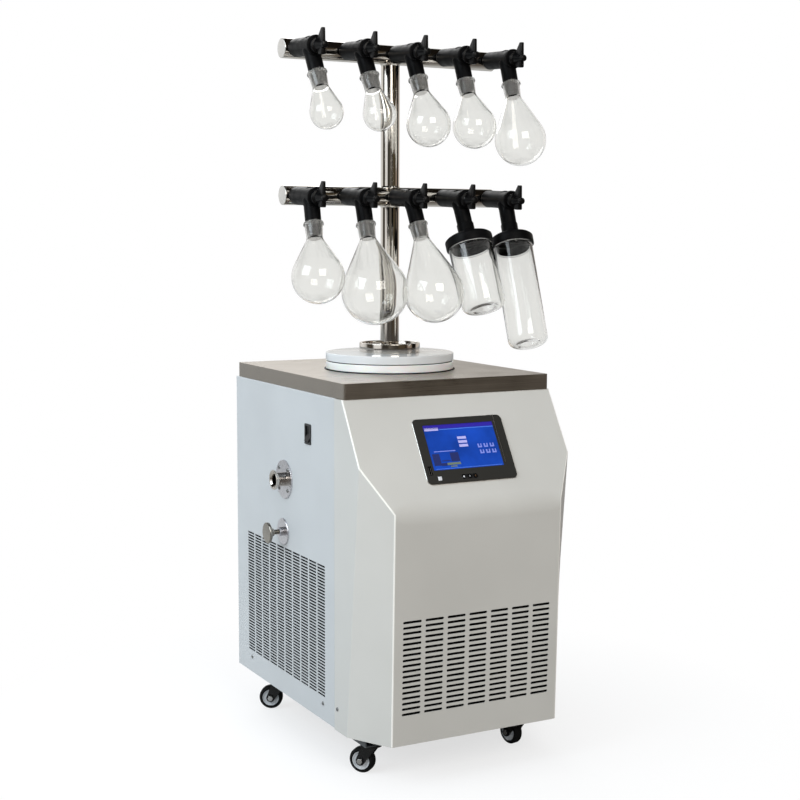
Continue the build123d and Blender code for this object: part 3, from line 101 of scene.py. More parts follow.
# Worktop, trap and manifold.
TRAP_HOLE = 106.5
WORKTOP_CORNER = 4.0
WORKTOP_EDGE = 2.2
COLLAR_BORE = 104.0
SEAL = (119.2, 134.0, 1.5)  # inner and outer radius and thickness
GASKET = (108.0, 128.5, 1.5)
LID_SPIGOT = 101.0
TUBE = 19.05
TUBE_WALL = 1.5
FLANGE = 19.5
NIPPLE = (9.4, 11.0, 17.0, 45.0)  # inner and outer radius, start and end

# Valves: along the sleeve, and down the branch that leaves it.
SLEEVE_START = 20.3
SLEEVE_END = 118.0
BRANCH_AT = 91.0
BRANCH_LEAN = 27.4
BRANCH_LENGTH = 55.0
PLUG = 23.0
SWINGS = {"upper": (2.8, 3.8, 0.9, -1.6, -4.6), "lower": (-6.8, -4.4, 2.1, 0.9, -4.7)}  # degrees, by port

# Flasks: bulb radius, bulb depth and the ports they hang from. Jars: radius, height and port.
GLASS_WALL = 2.0
GLASS_GREYING = 15.0  # per metre of glass
FLASKS = {
    "flask_100ml": (32.0, 84.0, (("upper", 1), ("upper", 2))),
    "flask_250ml": (43.0, 101.0, (("upper", 3), ("upper", 4))),
    "flask_500ml_tall": (51.0, 127.0, (("upper", 5),)),
    "flask_500ml": (50.5, 111.5, (("lower", 1),)),
    "flask_1000ml": (64.0, 141.5, (("lower", 2),)),
    "flask_800ml": (58.5, 146.0, (("lower", 3),)),
}
JARS = {"short_jar": (43.8, 152.0, 4), "tall_jar": (39.8, 230.0, 5)}
JAR_WALL = 2.5
CAP_NECK = 28.0
CAP_TOP = 4.0
CAP_SKIRT = 17.0
CAP_WALL = 4.0
THREAD_PITCH = 1.2  # of the drain knob's stem

# Control panel, measured on the slope from its top edge.
BEZEL = (195.0, 132.0, -115.0)  # width, height and middle
BEZEL_TOP = 3.0
SCREEN_CENTRE = (-2.0, -108.3)
SCREEN_SIZE = (152.4, 91.4)
GLASS_TOP = 2.0
LIGHTS = (-7.0, 12.5, -170.5)  # middle light, pitch and height
SOCKETS = (-89.8, -85.6)
SQUARE_LENS = ((-74.5, -174.5), (-66.5, -166.5))


# ---------------------------------------------------------------- settings
class FreezeDryerColours(bpy.types.PropertyGroup):
    """Colours of the finishes, as sRGB hex."""

    shell: StringProperty(name="Front shell", description="Powder coat of the front shell", default="#C9C7C1")
    side: StringProperty(name="Side panels", description="Powder coat of the side panels", default="#C3C5C5")
    worktop: StringProperty(name="Worktop", description="Brushed stainless steel", default="#A39C93")
    polished: StringProperty(name="Polished tube", description="Polished stainless steel", default="#D2CDC6")
    rubber: StringProperty(name="Rubber", description="Valve and jar cap rubber", default="#0B0B0C")
    screen: StringProperty(name="Screen", description="Main colour of the display", default="#1B46AC")


class FreezeDryerSizes(bpy.types.PropertyGroup):
    """Sizes that the dressing adds to the solids."""

    fold: FloatProperty(
        name="Fold width", description="Width of the rounding on the sheet's folds", default=3.2 * MM,
        subtype="DISTANCE",
    )
    frost: FloatProperty(
        name="Ground length", description="Length of the ground zone in a flask's neck", default=32.0 * MM,
        subtype="DISTANCE",
    )


class FreezeDryerStage(bpy.types.PropertyGroup):
    """Camera and lighting."""

    lens: FloatProperty(name="Lens", description="Focal length on a 36 mm sensor", default=65.99)
    world: FloatProperty(name="World level", description="Strength of the surrounding light", default=1.15)
    key: FloatProperty(name="Key level", description="Power of the left lamp", default=72.0, subtype="POWER")


# ---------------------------------------------------------------- colour and nodes
def linear(hex_colour):
    """Linear RGBA from an sRGB hex string."""
    values = [int(hex_colour[i : i + 2], 16) / 255 for i in (1, 3, 5)]
    return tuple(v / 12.92 if v <= 0.04045 else ((v + 0.055) / 1.055) ** 2.4 for v in values) + (1.0,)


def shaded(hex_colour, factor):
    """A darker or lighter version of a hex colour."""
    values = [min(255, max(0, round(int(hex_colour[i : i + 2], 16) * factor))) for i in (1, 3, 5)]
    return "#" + "".join(f"{v:02X}" for v in values)


def add(tree, kind, inputs=None, **own):
    """Add one node with its own settings; an input is set, or linked to a socket or a node's first output."""
    made = tree.nodes.new(kind)
    for name, value in own.items():
        setattr(made, name, value)
    for name, value in (inputs or {}).items():
        if isinstance(value, bpy.types.Node):
            value = value.outputs[0]
        if isinstance(value, bpy.types.NodeSocket):
            tree.links.new(value, made.inputs[name])
        else:
            made.inputs[name].default_value = value
    return made


def start_material(name, shader_inputs):
    """A material with one Principled shader, and its object coordinates."""
    made = bpy.data.materials.new(name)
    made.use_nodes = True
    tree = made.node_tree
    tree.nodes.clear()
    shader = add(tree, "ShaderNodeBsdfPrincipled", shader_inputs)
    add(tree, "ShaderNodeOutputMaterial", {"Surface": shader})
    coords = add(tree, "ShaderNodeTexCoord").outputs["Object"]
    return made, tree, shader, coords


def material_output(tree):
    """The output node of a material's tree."""
    return next(node for node in tree.nodes if node.type == "OUTPUT_MATERIAL")


def vary(tree, shader, pattern, tones=None, contrast=False, rough=None, relief=None, span=(0.3, 0.7)):
    """Let a 0-1 pattern steer a shader's colour between two tones, its roughness and its relief.

    Contrast stretches the pattern before it mixes the tones. Relief is a depth in millimetres and a strength.
    """
    stretched = {"Value": pattern, "From Min": span[0], "From Max": span[1]}
    if tones:
        factor = add(tree, "ShaderNodeMapRange", stretched) if contrast else pattern
        ends = {6: linear(tones[0]), 7: linear(tones[1])}
        mixed = add(tree, "ShaderNodeMix", {"Factor": factor, **ends}, data_type="RGBA")
        tree.links.new(mixed.outputs[2], shader.inputs["Base Color"])
    if rough:
        level = add(tree, "ShaderNodeMapRange", {**stretched, "To Min": rough[0], "To Max": rough[1]})
        tree.links.new(level.outputs[0], shader.inputs["Roughness"])
    if relief:
        height = {"Height": pattern, "Distance": relief[0] * MM, "Strength": relief[1]}
        tree.links.new(add(tree, "ShaderNodeBump", height).outputs[0], shader.inputs["Normal"])


# ---------------------------------------------------------------- finishes
def powder_coat(hex_colour, lift=1.0):
    # Sprayed polyester powder: satin, with a fine orange peel drawn at 3 mm so that it shows.
    # Lifted paler, it serves on the front shell's folds as a painted highlight.
    made, tree, shader, coords = start_material("powder", {"IOR": 1.5, "Specular IOR Level": 0.4})
    base = shaded(hex_colour, lift)
    cloud = add(tree, "ShaderNodeTexNoise", {"Vector": coords, "Scale": 1 / (160 * MM), "Detail": 2.0})
    vary(tree, shader, cloud, tones=(shaded(base, 0.985), shaded(base, 1.01)), contrast=True)
    peel = add(tree, "ShaderNodeTexNoise", {"Vector": coords, "Scale": 1 / (3 * MM), "Detail": 2.0})
    vary(tree, shader, peel, rough=(0.40, 0.50), relief=(0.02, 0.35))
    return made


def brushed_stainless(hex_colour):
    # 304 sheet with a long belt grain along X, drawn 1 mm wide so that it shows.
    made, tree, shader, coords = start_material("brushed", {"Metallic": 1.0})
    drawn = add(tree, "ShaderNodeMapping", {"Vector": coords, "Scale": (1 / 120, 1, 1)})
    grain = add(tree, "ShaderNodeTexNoise", {"Vector": drawn, "Scale": 1 / MM, "Detail": 4.0})
    tones = (shaded(hex_colour, 0.93), shaded(hex_colour, 1.05))
    vary(tree, shader, grain, tones=tones, contrast=True, relief=(0.015, 0.35))
    patch = add(tree, "ShaderNodeTexNoise", {"Vector": coords, "Scale": 1 / (70 * MM), "Detail": 2.0})
    both = add(tree, "ShaderNodeMath", {0: grain, 1: patch}, operation="ADD")
    vary(tree, shader, both, rough=(0.26, 0.40), span=(0.7, 1.3))
    return made


def satin_steel(hex_colour, low, high, grain_mm=0.8):
    # Turned or linished stainless: soft grey sheen with fine tool marks.
    made, tree, shader, coords = start_material("satin", {"Metallic": 1.0})
    turned_along = add(tree, "ShaderNodeMapping", {"Vector": coords, "Scale": (1, 1, 1 / 12)})
    marks = add(tree, "ShaderNodeTexNoise", {"Vector": turned_along, "Scale": 1 / (grain_mm * MM), "Detail": 4.0})
    tones = (shaded(hex_colour, 0.94), shaded(hex_colour, 1.04))
    vary(tree, shader, marks, tones=tones, rough=(low, high), relief=(0.01, 0.2))
    return made


def polished_stainless(hex_colour):
    # Buffed tube: a near mirror, with faint long polishing lines.
    made, tree, shader, coords = start_material("polished", {"Metallic": 1.0})
    drawn = add(tree, "ShaderNodeMapping", {"Vector": coords, "Scale": (1, 1, 1 / 40)})
    lines = add(tree, "ShaderNodeTexNoise", {"Vector": drawn, "Scale": 1 / (2 * MM), "Detail": 3.0})
    vary(tree, shader, lines, tones=(shaded(hex_colour, 0.97), shaded(hex_colour, 1.02)), rough=(0.05, 0.11))
    return made


def moulded_rubber(hex_colour, low, high):
    # EPDM or nitrile moulding: nearly black, soft sheen, faint bloom in patches.
    made, tree, shader, coords = start_material("rubber", {"IOR": 1.5, "Specular IOR Level": 0.08})
    bloom = add(tree, "ShaderNodeTexNoise", {"Vector": coords, "Scale": 1 / (14 * MM), "Detail": 4.0})
    tones = (shaded(hex_colour, 0.8), shaded(hex_colour, 1.25))
    vary(tree, shader, bloom, tones=tones, contrast=True, rough=(low, high))
    pores = add(tree, "ShaderNodeTexNoise", {"Vector": coords, "Scale": 1 / (1.6 * MM), "Detail": 3.0})
    vary(tree, shader, pores, relief=(0.03, 0.25))
    return made


def moulded_plastic(hex_colour, low, high, grain_mm=1.2, gloss=0.5):
    # Injection moulding with a light spark-eroded texture.
    made, tree, shader, coords = start_material("plastic", {"IOR": 1.49, "Specular IOR Level": gloss})
    grain = add(tree, "ShaderNodeTexNoise", {"Vector": coords, "Scale": 1 / (grain_mm * MM), "Detail": 3.0})
    tones = (shaded(hex_colour, 0.95), shaded(hex_colour, 1.06))
    vary(tree, shader, grain, tones=tones, rough=(low, high), relief=(0.02, 0.25))
    return made


def grey_edges(tree):
    """Grey the light that runs a long way inside a clear wall, as along a vessel's edge."""
    volume = add(tree, "ShaderNodeVolumeAbsorption", {"Color": linear("#3A3A36"), "Density": GLASS_GREYING})
    tree.links.new(volume.outputs[0], material_output(tree).inputs["Volume"])


def borosilicate_glass():
    # Blown borosilicate: clear, with slow waves in the wall and grey edges.
    clear = {"Transmission Weight": 1.0, "Base Color": linear("#F7F7F5"), "Roughness": 0.0}
    made, tree, shader, coords = start_material("glass", {"IOR": 1.473, "Specular IOR Level": 0.22, **clear})
    waves = add(tree, "ShaderNodeTexNoise", {"Vector": coords, "Scale": 1 / (26 * MM), "Detail": 1.0})
    vary(tree, shader, waves, relief=(0.25, 0.5))
    grey_edges(tree)
    return made


def ground_glass():
    # Ground joint: the same glass with a frosted bore, pale grey and soft.
    frosted = {"Transmission Weight": 0.78, "Base Color": linear("#E6E3DE")}
    made, tree, shader, coords = start_material("ground", {"IOR": 1.473, **frosted})
    grit = add(tree, "ShaderNodeTexNoise", {"Vector": coords, "Scale": 1 / (0.9 * MM), "Detail": 3.0})
    vary(tree, shader, grit, rough=(0.22, 0.40), relief=(0.04, 0.4))
    grey_edges(tree)
    return made


def clear_acrylic():
    # Cast acrylic plate, 16 mm thick: polished, faintly milky.
    milky = {"Transmission Weight": 0.22, "Base Color": linear("#F4F5F5"), "Roughness": 0.10}
    made, tree, shader, coords = start_material("acrylic", {"IOR": 1.49, **milky})
    swell = add(tree, "ShaderNodeTexNoise", {"Vector": coords, "Scale": 1 / (90 * MM), "Detail": 1.0})
    vary(tree, shader, swell, relief=(0.2, 0.2))
    return made


def cloudy_acrylic():
    # The collar below the lid: milky white and glossy.
    milky = {"Subsurface Weight": 0.25, "Subsurface Scale": 0.004, "Coat Weight": 0.6}
    made, tree, shader, coords = start_material("cloudy", {"IOR": 1.49, **milky})
    haze = add(tree, "ShaderNodeTexNoise", {"Vector": coords, "Scale": 1 / (40 * MM), "Detail": 2.0})
    vary(tree, shader, haze, tones=("#E9E7E3", "#F2F0EC"), rough=(0.10, 0.18))
    return made


def shine_in_own_colour(tree, shader):
    """Let a surface give off light of its own colour."""
    tree.links.new(shader.inputs["Base Color"].links[0].from_socket, shader.inputs["Emission Color"])


def lit_display(hex_colour):
    # Backlit display behind glass: a smooth field with a soft cloudy tone.
    glass = {"Roughness": 0.12, "IOR": 1.5, "Emission Strength": 0.12}
    made, tree, shader, coords = start_material("display", glass)
    cloud = add(tree, "ShaderNodeTexNoise", {"Vector": coords, "Scale": 1 / (60 * MM), "Detail": 3.0})
    vary(tree, shader, cloud, tones=(shaded(hex_colour, 0.82), shaded(hex_colour, 1.08)), contrast=True)
    shine_in_own_colour(tree, shader)
    return made


def lit_shape(hex_colour):
    # Shapes on the display: flat light with a little grain.
    made, tree, shader, coords = start_material("print", {"Roughness": 0.15, "Emission Strength": 0.15})
    grain = add(tree, "ShaderNodeTexNoise", {"Vector": coords, "Scale": 1 / (1.2 * MM), "Detail": 1.0})
    vary(tree, shader, grain, tones=(shaded(hex_colour, 0.93), shaded(hex_colour, 1.04)))
    shine_in_own_colour(tree, shader)
    return made


def insulation_foam():
    # Closed-cell foam: matt, with cells about 2 mm across.
    made, tree, shader, coords = start_material("foam", {"Roughness": 0.9})
    cells = add(tree, "ShaderNodeTexVoronoi", {"Vector": coords, "Scale": 1 / (2 * MM)})
    vary(tree, shader, cells, tones=("#B9B08C", "#E6DFC0"), relief=(0.4, 0.6))
    return made


def drawn_copper():
    # Drawn copper tube, slightly dulled.
    made, tree, shader, coords = start_material("copper", {"Metallic": 1.0})
    tarnish = add(tree, "ShaderNodeTexNoise", {"Vector": coords, "Scale": 1 / (18 * MM), "Detail": 4.0})
    vary(tree, shader, tarnish, tones=("#9A5A3C", "#D08A66"), contrast=True, rough=(0.22, 0.42))
    return made


# Each finish: how it is made, its colour or the colour setting's name, and what else it takes.
FINISHES = {
    "warm_grey_powder_coat": (powder_coat, "shell"),
    # A paler coat laid on the shell's folds as a painted highlight.
    "painted_fold_highlight": (powder_coat, "shell", 1.2),
    "cool_grey_powder_coat": (powder_coat, "side"),
    "brushed_stainless": (brushed_stainless, "worktop"),
    "polished_stainless": (polished_stainless, "polished"),
    "linished_cap_steel": (satin_steel, "#EAE7E2", 0.45, 0.6),
    "satin_plate_steel": (satin_steel, "#D6D5D9", 0.20, 0.34),
    "turned_knob_steel": (satin_steel, "#A19C94", 0.16, 0.30, 0.5),
    "zinc_plate": (satin_steel, "#A9ABAC", 0.30, 0.45, 3.0),
    "chromed_bolt": (satin_steel, "#D9DADA", 0.10, 0.2),
    "bare_aluminium": (satin_steel, "#9DA0A2", 0.35, 0.5),
    "pale_edge_trim": (satin_steel, "#D8D6D0", 0.25, 0.35),
    "epdm_rubber": (moulded_rubber, "rubber", 0.34, 0.52),
    "nitrile_seal": (moulded_rubber, "#121212", 0.45, 0.6),
    "tyre_rubber": (moulded_rubber, "#161616", 0.5, 0.7),
    # Near-black foam behind the grilles, painted shade for the cabinet's dark inside.
    "filter_foam": (moulded_rubber, "#040404", 0.85, 0.95),
    "black_nylon": (moulded_plastic, "#070708", 0.26, 0.4, 1.2, 0.22),
    "black_abs": (moulded_plastic, "#1A1A1B", 0.3, 0.42, 0.8),
    "bezel_abs": (moulded_plastic, "#2B2A27", 0.34, 0.46, 0.9),
    "grey_polypropylene": (moulded_plastic, "#8E9092", 0.35, 0.5),
    "pale_hub_nylon": (moulded_plastic, "#C9CACB", 0.3, 0.42),
    "white_lens": (moulded_plastic, "#D6D7DA", 0.2, 0.3),
    "amber_lens": (moulded_plastic, "#4A3624", 0.15, 0.25),
    "dark_lens_lit": (moulded_plastic, "#77787A", 0.15, 0.25),
    "dark_lens": (moulded_plastic, "#0D0D0E", 0.12, 0.2),
    "black_enamel": (moulded_plastic, "#101011", 0.18, 0.3, 6.0),
    "grey_enamel": (moulded_plastic, "#5B5D5F", 0.4, 0.55, 3.0),
    "borosilicate_glass": (borosilicate_glass,),
    "ground_glass": (ground_glass,),
    "clear_acrylic": (clear_acrylic,),
    "cloudy_acrylic": (cloudy_acrylic,),
    "display_panel": (lit_display, "screen"),
    "display_header": (lit_shape, "#33299C"),
    "display_line": (lit_shape, "#4F78D8"),
    "display_pale": (lit_shape, "#B4B0E6"),
    "display_icon": (lit_shape, "#7F8CDC"),
    "display_dark": (lit_shape, "#2A3366"),
    "display_olive": (lit_shape, "#6E7A6A"),
    "insulation_foam": (insulation_foam,),
    "drawn_copper": (drawn_copper,),
}
MATERIALS = {}


def material(name):
    """A finish by name, made once."""
    if name not in MATERIALS:
        make, *values = FINISHES[name]
        colours = bpy.context.scene.freeze_dryer_colours
        values = [getattr(colours, value, value) if isinstance(value, str) else value for value in values]
        MATERIALS[name] = make(*values)
        MATERIALS[name].name = name
    return MATERIALS[name]


# ---------------------------------------------------------------- mesh tools
def circle(radius, count):
    """Points evenly round a circle."""
    return [(radius * math.cos(a), radius * math.sin(a)) for a in (2 * math.pi * k / count for k in range(count))]


def rounded(corners, steps=5):
    """An outline in millimetres from (r, z) or (r, z, fillet) corners."""
    points = []
    last = len(corners) - 1
    for i, corner in enumerate(corners):
        here = Vector(corner[:2])
        fillet = corner[2] if len(corner) > 2 else 0
        if not fillet or i in (0, last):
            points.append(tuple(here))
            continue
        before = (Vector(corners[i - 1][:2]) - here).normalized()
        after = (Vector(corners[i + 1][:2]) - here).normalized()
        half = before.angle(after) / 2
        if half > math.pi / 2 - 0.01:
            points.append(tuple(here))
            continue
        reach = fillet / math.tan(half)
        centre = here + (before + after).normalized() * (fillet / math.sin(half))
        start = here + before * reach - centre
        turn = start.angle_signed(here + after * reach - centre)
        for k in range(steps + 1):
            points.append(tuple(centre + Matrix.Rotation(-turn * k / steps, 2) @ start))
    return points


def lathe(points, segments=72, ring=False):
    """A bmesh turned about Z from (r, z) points in millimetres."""
    bm = bmesh.new()
    loops = []
    for r, z in points:
        if r < 1e-4:
            loops.append([bm.verts.new((0, 0, z * MM))])
        else:
            loops.append([bm.verts.new((x, y, z * MM)) for x, y in circle(r * MM, segments)])
    pairs = list(zip(loops, loops[1:])) + ([(loops[-1], loops[0])] if ring else [])
    for low, high in pairs:
        for k in range(segments):
            n = (k + 1) % segments
            around = (low[k % len(low)], low[n % len(low)], high[n % len(high)], high[k % len(high)])
            corners = list(dict.fromkeys(around))
            if len(corners) > 2:
                bm.faces.new(corners)
    bmesh.ops.recalc_face_normals(bm, faces=bm.faces)
    return bm


def turned(corners, segments=72):
    """A ring turned about Z from a closed section's corners, as for rounded."""
    return lathe(rounded([*corners, corners[0][:2]])[:-1], segments, ring=True)


def soften(bm, radius):
    """Round every edge of a bmesh."""
    bmesh.ops.bevel(bm, geom=bm.edges[:], offset=radius * MM, segments=3, profile=0.5, affect="EDGES")


def block(low, high, radius=0.0):
    """A bmesh box in millimetres with rounded edges."""
    bm = bmesh.new()
    bmesh.ops.create_cube(bm, size=1.0)
    for v in bm.verts:
        v.co = Vector(((a + (c + 0.5) * (b - a)) * MM for a, b, c in zip(low, high, v.co)))
    if radius:
        soften(bm, radius)
    return bm


def prism(points, low, high, radius=0.0):
    """A bmesh slab between two heights from a flat outline in millimetres."""
    bm = bmesh.new()
    rings = [[bm.verts.new((x * MM, y * MM, z * MM)) for x, y in points] for z in (low, high)]
    bm.faces.new(rings[0][::-1])
    bm.faces.new(rings[1])
    count = len(points)
    for k in range(count):
        n = (k + 1) % count
        bm.faces.new((rings[0][k], rings[0][n], rings[1][n], rings[1][k]))
    bmesh.ops.recalc_face_normals(bm, faces=bm.faces)
    if radius:
        soften(bm, radius)
    return bm


def rounded_rectangle(width, height, radius, steps=5):
    """Points round a rectangle with rounded corners."""
    points = []
    for cx, cy, start in ((1, 1, 0), (-1, 1, 90), (-1, -1, 180), (1, -1, 270)):
        for k in range(steps + 1):
            a = math.radians(start + 90 * k / steps)
            x = cx * (width / 2 - radius) + radius * math.cos(a)
            y = cy * (height / 2 - radius) + radius * math.sin(a)
            points.append((x, y))
    return points


def moved(bm, matrix):
    """The same bmesh, moved."""
    bmesh.ops.transform(bm, matrix=matrix, verts=bm.verts)
    return bm


def joined(parts):
    """One bmesh from several, each used up."""
    total = bmesh.new()
    for part in parts:
        scratch = bpy.data.meshes.new("scratch")
        part.to_mesh(scratch)
        part.free()
        total.from_mesh(scratch)
        bpy.data.meshes.remove(scratch)
    return total


def piece(name, bm, finish, body=CABINET, replaces=(), sharp=35.0):
    """An object from a bmesh, smooth except at edges sharper than the given angle."""
    mesh = bpy.data.meshes.new(name)
    bm.to_mesh(mesh)
    bm.free()
    made = bpy.data.objects.new(name, mesh)
    bpy.context.scene.collection.objects.link(made)
    for polygon in mesh.polygons:
        polygon.use_smooth = True
    mesh.set_sharp_from_angle(angle=math.radians(sharp))
    for one in [finish] if isinstance(finish, str) else finish:
        mesh.materials.append(material(one))
    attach(made, body)
    if replaces:
        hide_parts(*replaces)
    return made


def apply_modifiers(made):
    """Bake an object's modifiers into its mesh."""
    bpy.context.view_layer.update()
    depsgraph = bpy.context.evaluated_depsgraph_get()
    old = made.data
    made.data = bpy.data.meshes.new_from_object(made.evaluated_get(depsgraph), depsgraph=depsgraph)
    made.modifiers.clear()
    bpy.data.meshes.remove(old)


def thicken(made, thickness):
    """Give a skin a thickness in millimetres, inwards."""
    thick = made.modifiers.new("thick", "SOLIDIFY")
    thick.thickness = thickness * MM
    thick.offset = -1


def even_shading(made, sharp):
    """Shade flats evenly up to edges sharper than the given angle."""
    made.data.set_sharp_from_angle(angle=math.radians(sharp))
    even = made.modifiers.new("even", "WEIGHTED_NORMAL")
    even.keep_sharp = True
    apply_modifiers(made)


def dress(node, finish):
    """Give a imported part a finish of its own."""
    mesh = NODES[node].data
    mesh.materials.clear()
    mesh.materials.append(material(finish))
    for polygon in mesh.polygons:
        polygon.material_index = 0


def along(origin, direction, up=(0, 0, 1)):
    """A matrix whose Z runs along a direction from an origin in millimetres."""
    z = Vector(direction).normalized()
    x = Vector(up).cross(z)
    x = x.normalized() if x.length > 1e-6 else Vector((1, 0, 0))
    y = z.cross(x)
    turn = Matrix((x, y, z)).transposed().to_4x4()
    return Matrix.Translation(Vector(origin) * MM) @ turn


# ---------------------------------------------------------------- places
def joint_frame(name):
    """A joint's own frame: Z along its axis, Y up."""
    return along([c / MM for c in JOINTS[name]["pos_m"]], JOINTS[name]["axis"])


def valve_frame(row, port):
    """A valve's own frame: Z out along the sleeve, Y up."""
    return joint_frame(f"{row}_valve_turn_{port}")


def branch_frame(row, port, depth=0.0):
    """Down a valve's branch, the given depth below its shoulder."""
    swing = Matrix.Rotation(math.radians(SWINGS[row][port - 1]), 4, "Z")
    lean = math.radians(BRANCH_LEAN)
    down = along((0, 0, BRANCH_AT), (0, -math.cos(lean), math.sin(lean)))
    return valve_frame(row, port) @ swing @ down @ Matrix.Translation((0, 0, (BRANCH_LENGTH + depth) * MM))


def plane_frame(low, high, origin):
    """A sheet of the front shell from its (y, z) line: X right, Y up it, Z out of it."""
    rise = Vector((0, high[0] - low[0], high[1] - low[1])).normalized()
    normal = Vector((1, 0, 0)).cross(rise)
    turn = Matrix((Vector((1, 0, 0)), rise, normal)).transposed().to_4x4()
    return Matrix.Translation(Vector((0, *origin)) * MM) @ turn


def slope_frame():
    """The control slope, measured from its top edge."""
    return plane_frame(BROW, SLOPE_TOP, SLOPE_TOP)


def front_frame():
    """The upright front, measured from its foot."""
    return plane_frame(FOOT, BROW, FOOT)


# ---------------------------------------------------------------- cabinet
def corner_facet(bm, side):
    """A twisted corner of the shell as columns of vertices, and the corners of the strip behind it."""
    slope_run = (BROW[0] - SLOPE_TOP[0]) / (BROW[1] - SLOPE_TOP[1])
    top_y = SLOPE_TOP[0] + (CORNER_TOP_Z - SLOPE_TOP[1]) * slope_run
    corners = [
        Vector((side * HALF_WIDTH, CORNER_FOOT_Y, FOOT[1])), Vector((side * FRONT_HALF, *FOOT)),
        Vector((side * HALF_WIDTH, top_y, CORNER_TOP_Z)), Vector((side * FRONT_HALF, *BROW)),
    ]
    grid = []
    for i in range(FACET_COLUMNS + 1):
        low = corners[0].lerp(corners[1], i / FACET_COLUMNS)
        high = corners[2].lerp(corners[3], i / FACET_COLUMNS)
        grid.append([bm.verts.new(low.lerp(high, j / FACET_ROWS) * MM) for j in range(FACET_ROWS + 1)])
    for i in range(FACET_COLUMNS):
        for j in range(FACET_ROWS):
            bm.faces.new((grid[i][j], grid[i + 1][j], grid[i + 1][j + 1], grid[i][j + 1]))
    edge, flange = side * HALF_WIDTH, side * (HALF_WIDTH - RETURN_WIDTH)
    points = {
        "top": (edge, *SLOPE_TOP),
        "rear_foot": (edge, SHELL_REAR, FOOT[1]),
        "rear_top": (edge, SHELL_REAR, SLOPE_TOP[1]),
        "flange_foot": (flange, SHELL_REAR, FOOT[1]),
        "flange_top": (flange, SHELL_REAR, SLOPE_TOP[1]),
    }
    rim = {name: bm.verts.new(Vector(p) * MM) for name, p in points.items()}
    bm.faces.new([rim["rear_foot"], *grid[0], rim["top"], rim["rear_top"]])
    bm.faces.new([rim["rear_foot"], rim["rear_top"], rim["flange_top"], rim["flange_foot"]])
    return grid, rim


def rolled_brow(bm, left, right):
    """The brow, rolled over a wide radius that runs out at the corners, as its curve at either end."""
    start = front_frame() @ (Vector((0, (Vector(BROW) - Vector(FOOT)).length - BROW_ROLL, 0)) * MM)
    end = slope_frame() @ (Vector((0, BROW_ROLL - (Vector(BROW) - Vector(SLOPE_TOP)).length, 0)) * MM)
    crest = Vector((0, *BROW)) * MM
    steps = [k / ROLL_STEPS for k in range(ROLL_STEPS + 1)]
    rolls = []
    for side in (-1, 1):
        shift = Vector((side * (FRONT_HALF - BROW_RUN_OUT) * MM, 0, 0))
        rolls.append([bm.verts.new(shift + start.lerp(crest, t).lerp(crest.lerp(end, t), t)) for t in steps])
    for (a, b), (c, d) in zip(zip(rolls[0], rolls[0][1:]), zip(rolls[1], rolls[1][1:])):
        bm.faces.new((a, c, d, b))
        bm.faces.new((left[-1][-1], a, b))
        bm.faces.new((right[-1][-1], d, c))
    return rolls


def round_folds(bm, corners):
    """Round the shell's folds, and give all but the side-to-facet fold the second material: a paler coat that
    paints their highlight.
    """
    folds, highlight_lines = [], []
    for grid, rim in corners:
        for line in (grid[-1], [column[-1] for column in grid], [rim["top"], grid[0][-1]], grid[0]):
            pairs = list(zip(line, line[1:]))
            folds += [bm.edges.get(pair) for pair in pairs]
            if line is not grid[0]:
                highlight_lines += [(a.co.copy(), b.co.copy()) for a, b in pairs]
    width = bpy.context.scene.freeze_dryer_sizes.fold
    rounds = bmesh.ops.bevel(
        bm, geom=folds, offset=width, segments=4, profile=0.5, affect="EDGES", clamp_overlap=False,
        offset_type="WIDTH",
    )["faces"]
    # Rounded faces near the listed fold lines take the paler coat: painted highlight.
    for face in rounds:
        if all(min(off_line(v.co, *pair) for pair in highlight_lines) < width for v in face.verts):
            face.material_index = 1


def shell_skin():
    """Outer skin of the front shell, with its folds rounded."""
    bm = bmesh.new()
    corners = [corner_facet(bm, side) for side in (-1, 1)]
    (left, left_rim), (right, right_rim) = corners
    rolls = rolled_brow(bm, left, right)
    bm.faces.new([*left[-1], rolls[0][0], rolls[1][0], *reversed(right[-1])])
    upper = [column[-1] for column in left] + [rolls[0][-1], rolls[1][-1]]
    upper += [column[-1] for column in reversed(right)]
    bm.faces.new([left_rim["top"], *upper, right_rim["top"]])
    lip = (SLOPE_TOP[0] + RETURN_WIDTH, SLOPE_TOP[1])
    tops = [bm.verts.new(Vector((side * HALF_WIDTH, *lip)) * MM) for side in (-1, 1)]
    bm.faces.new([left_rim["top"], right_rim["top"], tops[1], tops[0]])
    bmesh.ops.recalc_face_normals(bm, faces=bm.faces)
    upright = max(bm.faces, key=lambda f: f.calc_area() if abs(f.normal.y) > 0.9 else 0)
    if upright.normal.y > 0:
        bmesh.ops.reverse_faces(bm, faces=bm.faces)
    round_folds(bm, corners)
    return bm


def off_line(point, start, end):
    """Distance from a point to a stretch of line."""
    foot, along_it = intersect_point_line(point, start, end)
    return (point - (start if along_it < 0 else end if along_it > 1 else foot)).length


def punch(bm, face, outlines):
    """Cut closed outlines through one flat face of a sheet."""
    normal = face.normal.copy()
    edges = list(face.edges)
    bmesh.ops.delete(bm, geom=[face], context="FACES_ONLY")
    for outline in outlines:
        ring = [bm.verts.new(point) for point in outline]
        edges += [bm.edges.new((ring[k - 1], ring[k])) for k in range(len(ring))]
    filled = bmesh.ops.triangle_fill(bm, use_beauty=True, edges=edges, normal=normal)
    for made in filled["geom"]:
        if isinstance(made, bmesh.types.BMFace) and made.normal.dot(normal) < 0:
            made.normal_flip()


def slot_middles(grille):
    """The middle of every slot in a grille."""
    for i in range(grille.columns):
        for j in range(grille.rows):
            yield grille.first_across + i * grille.pitch_across, grille.first_up + j * grille.pitch_up


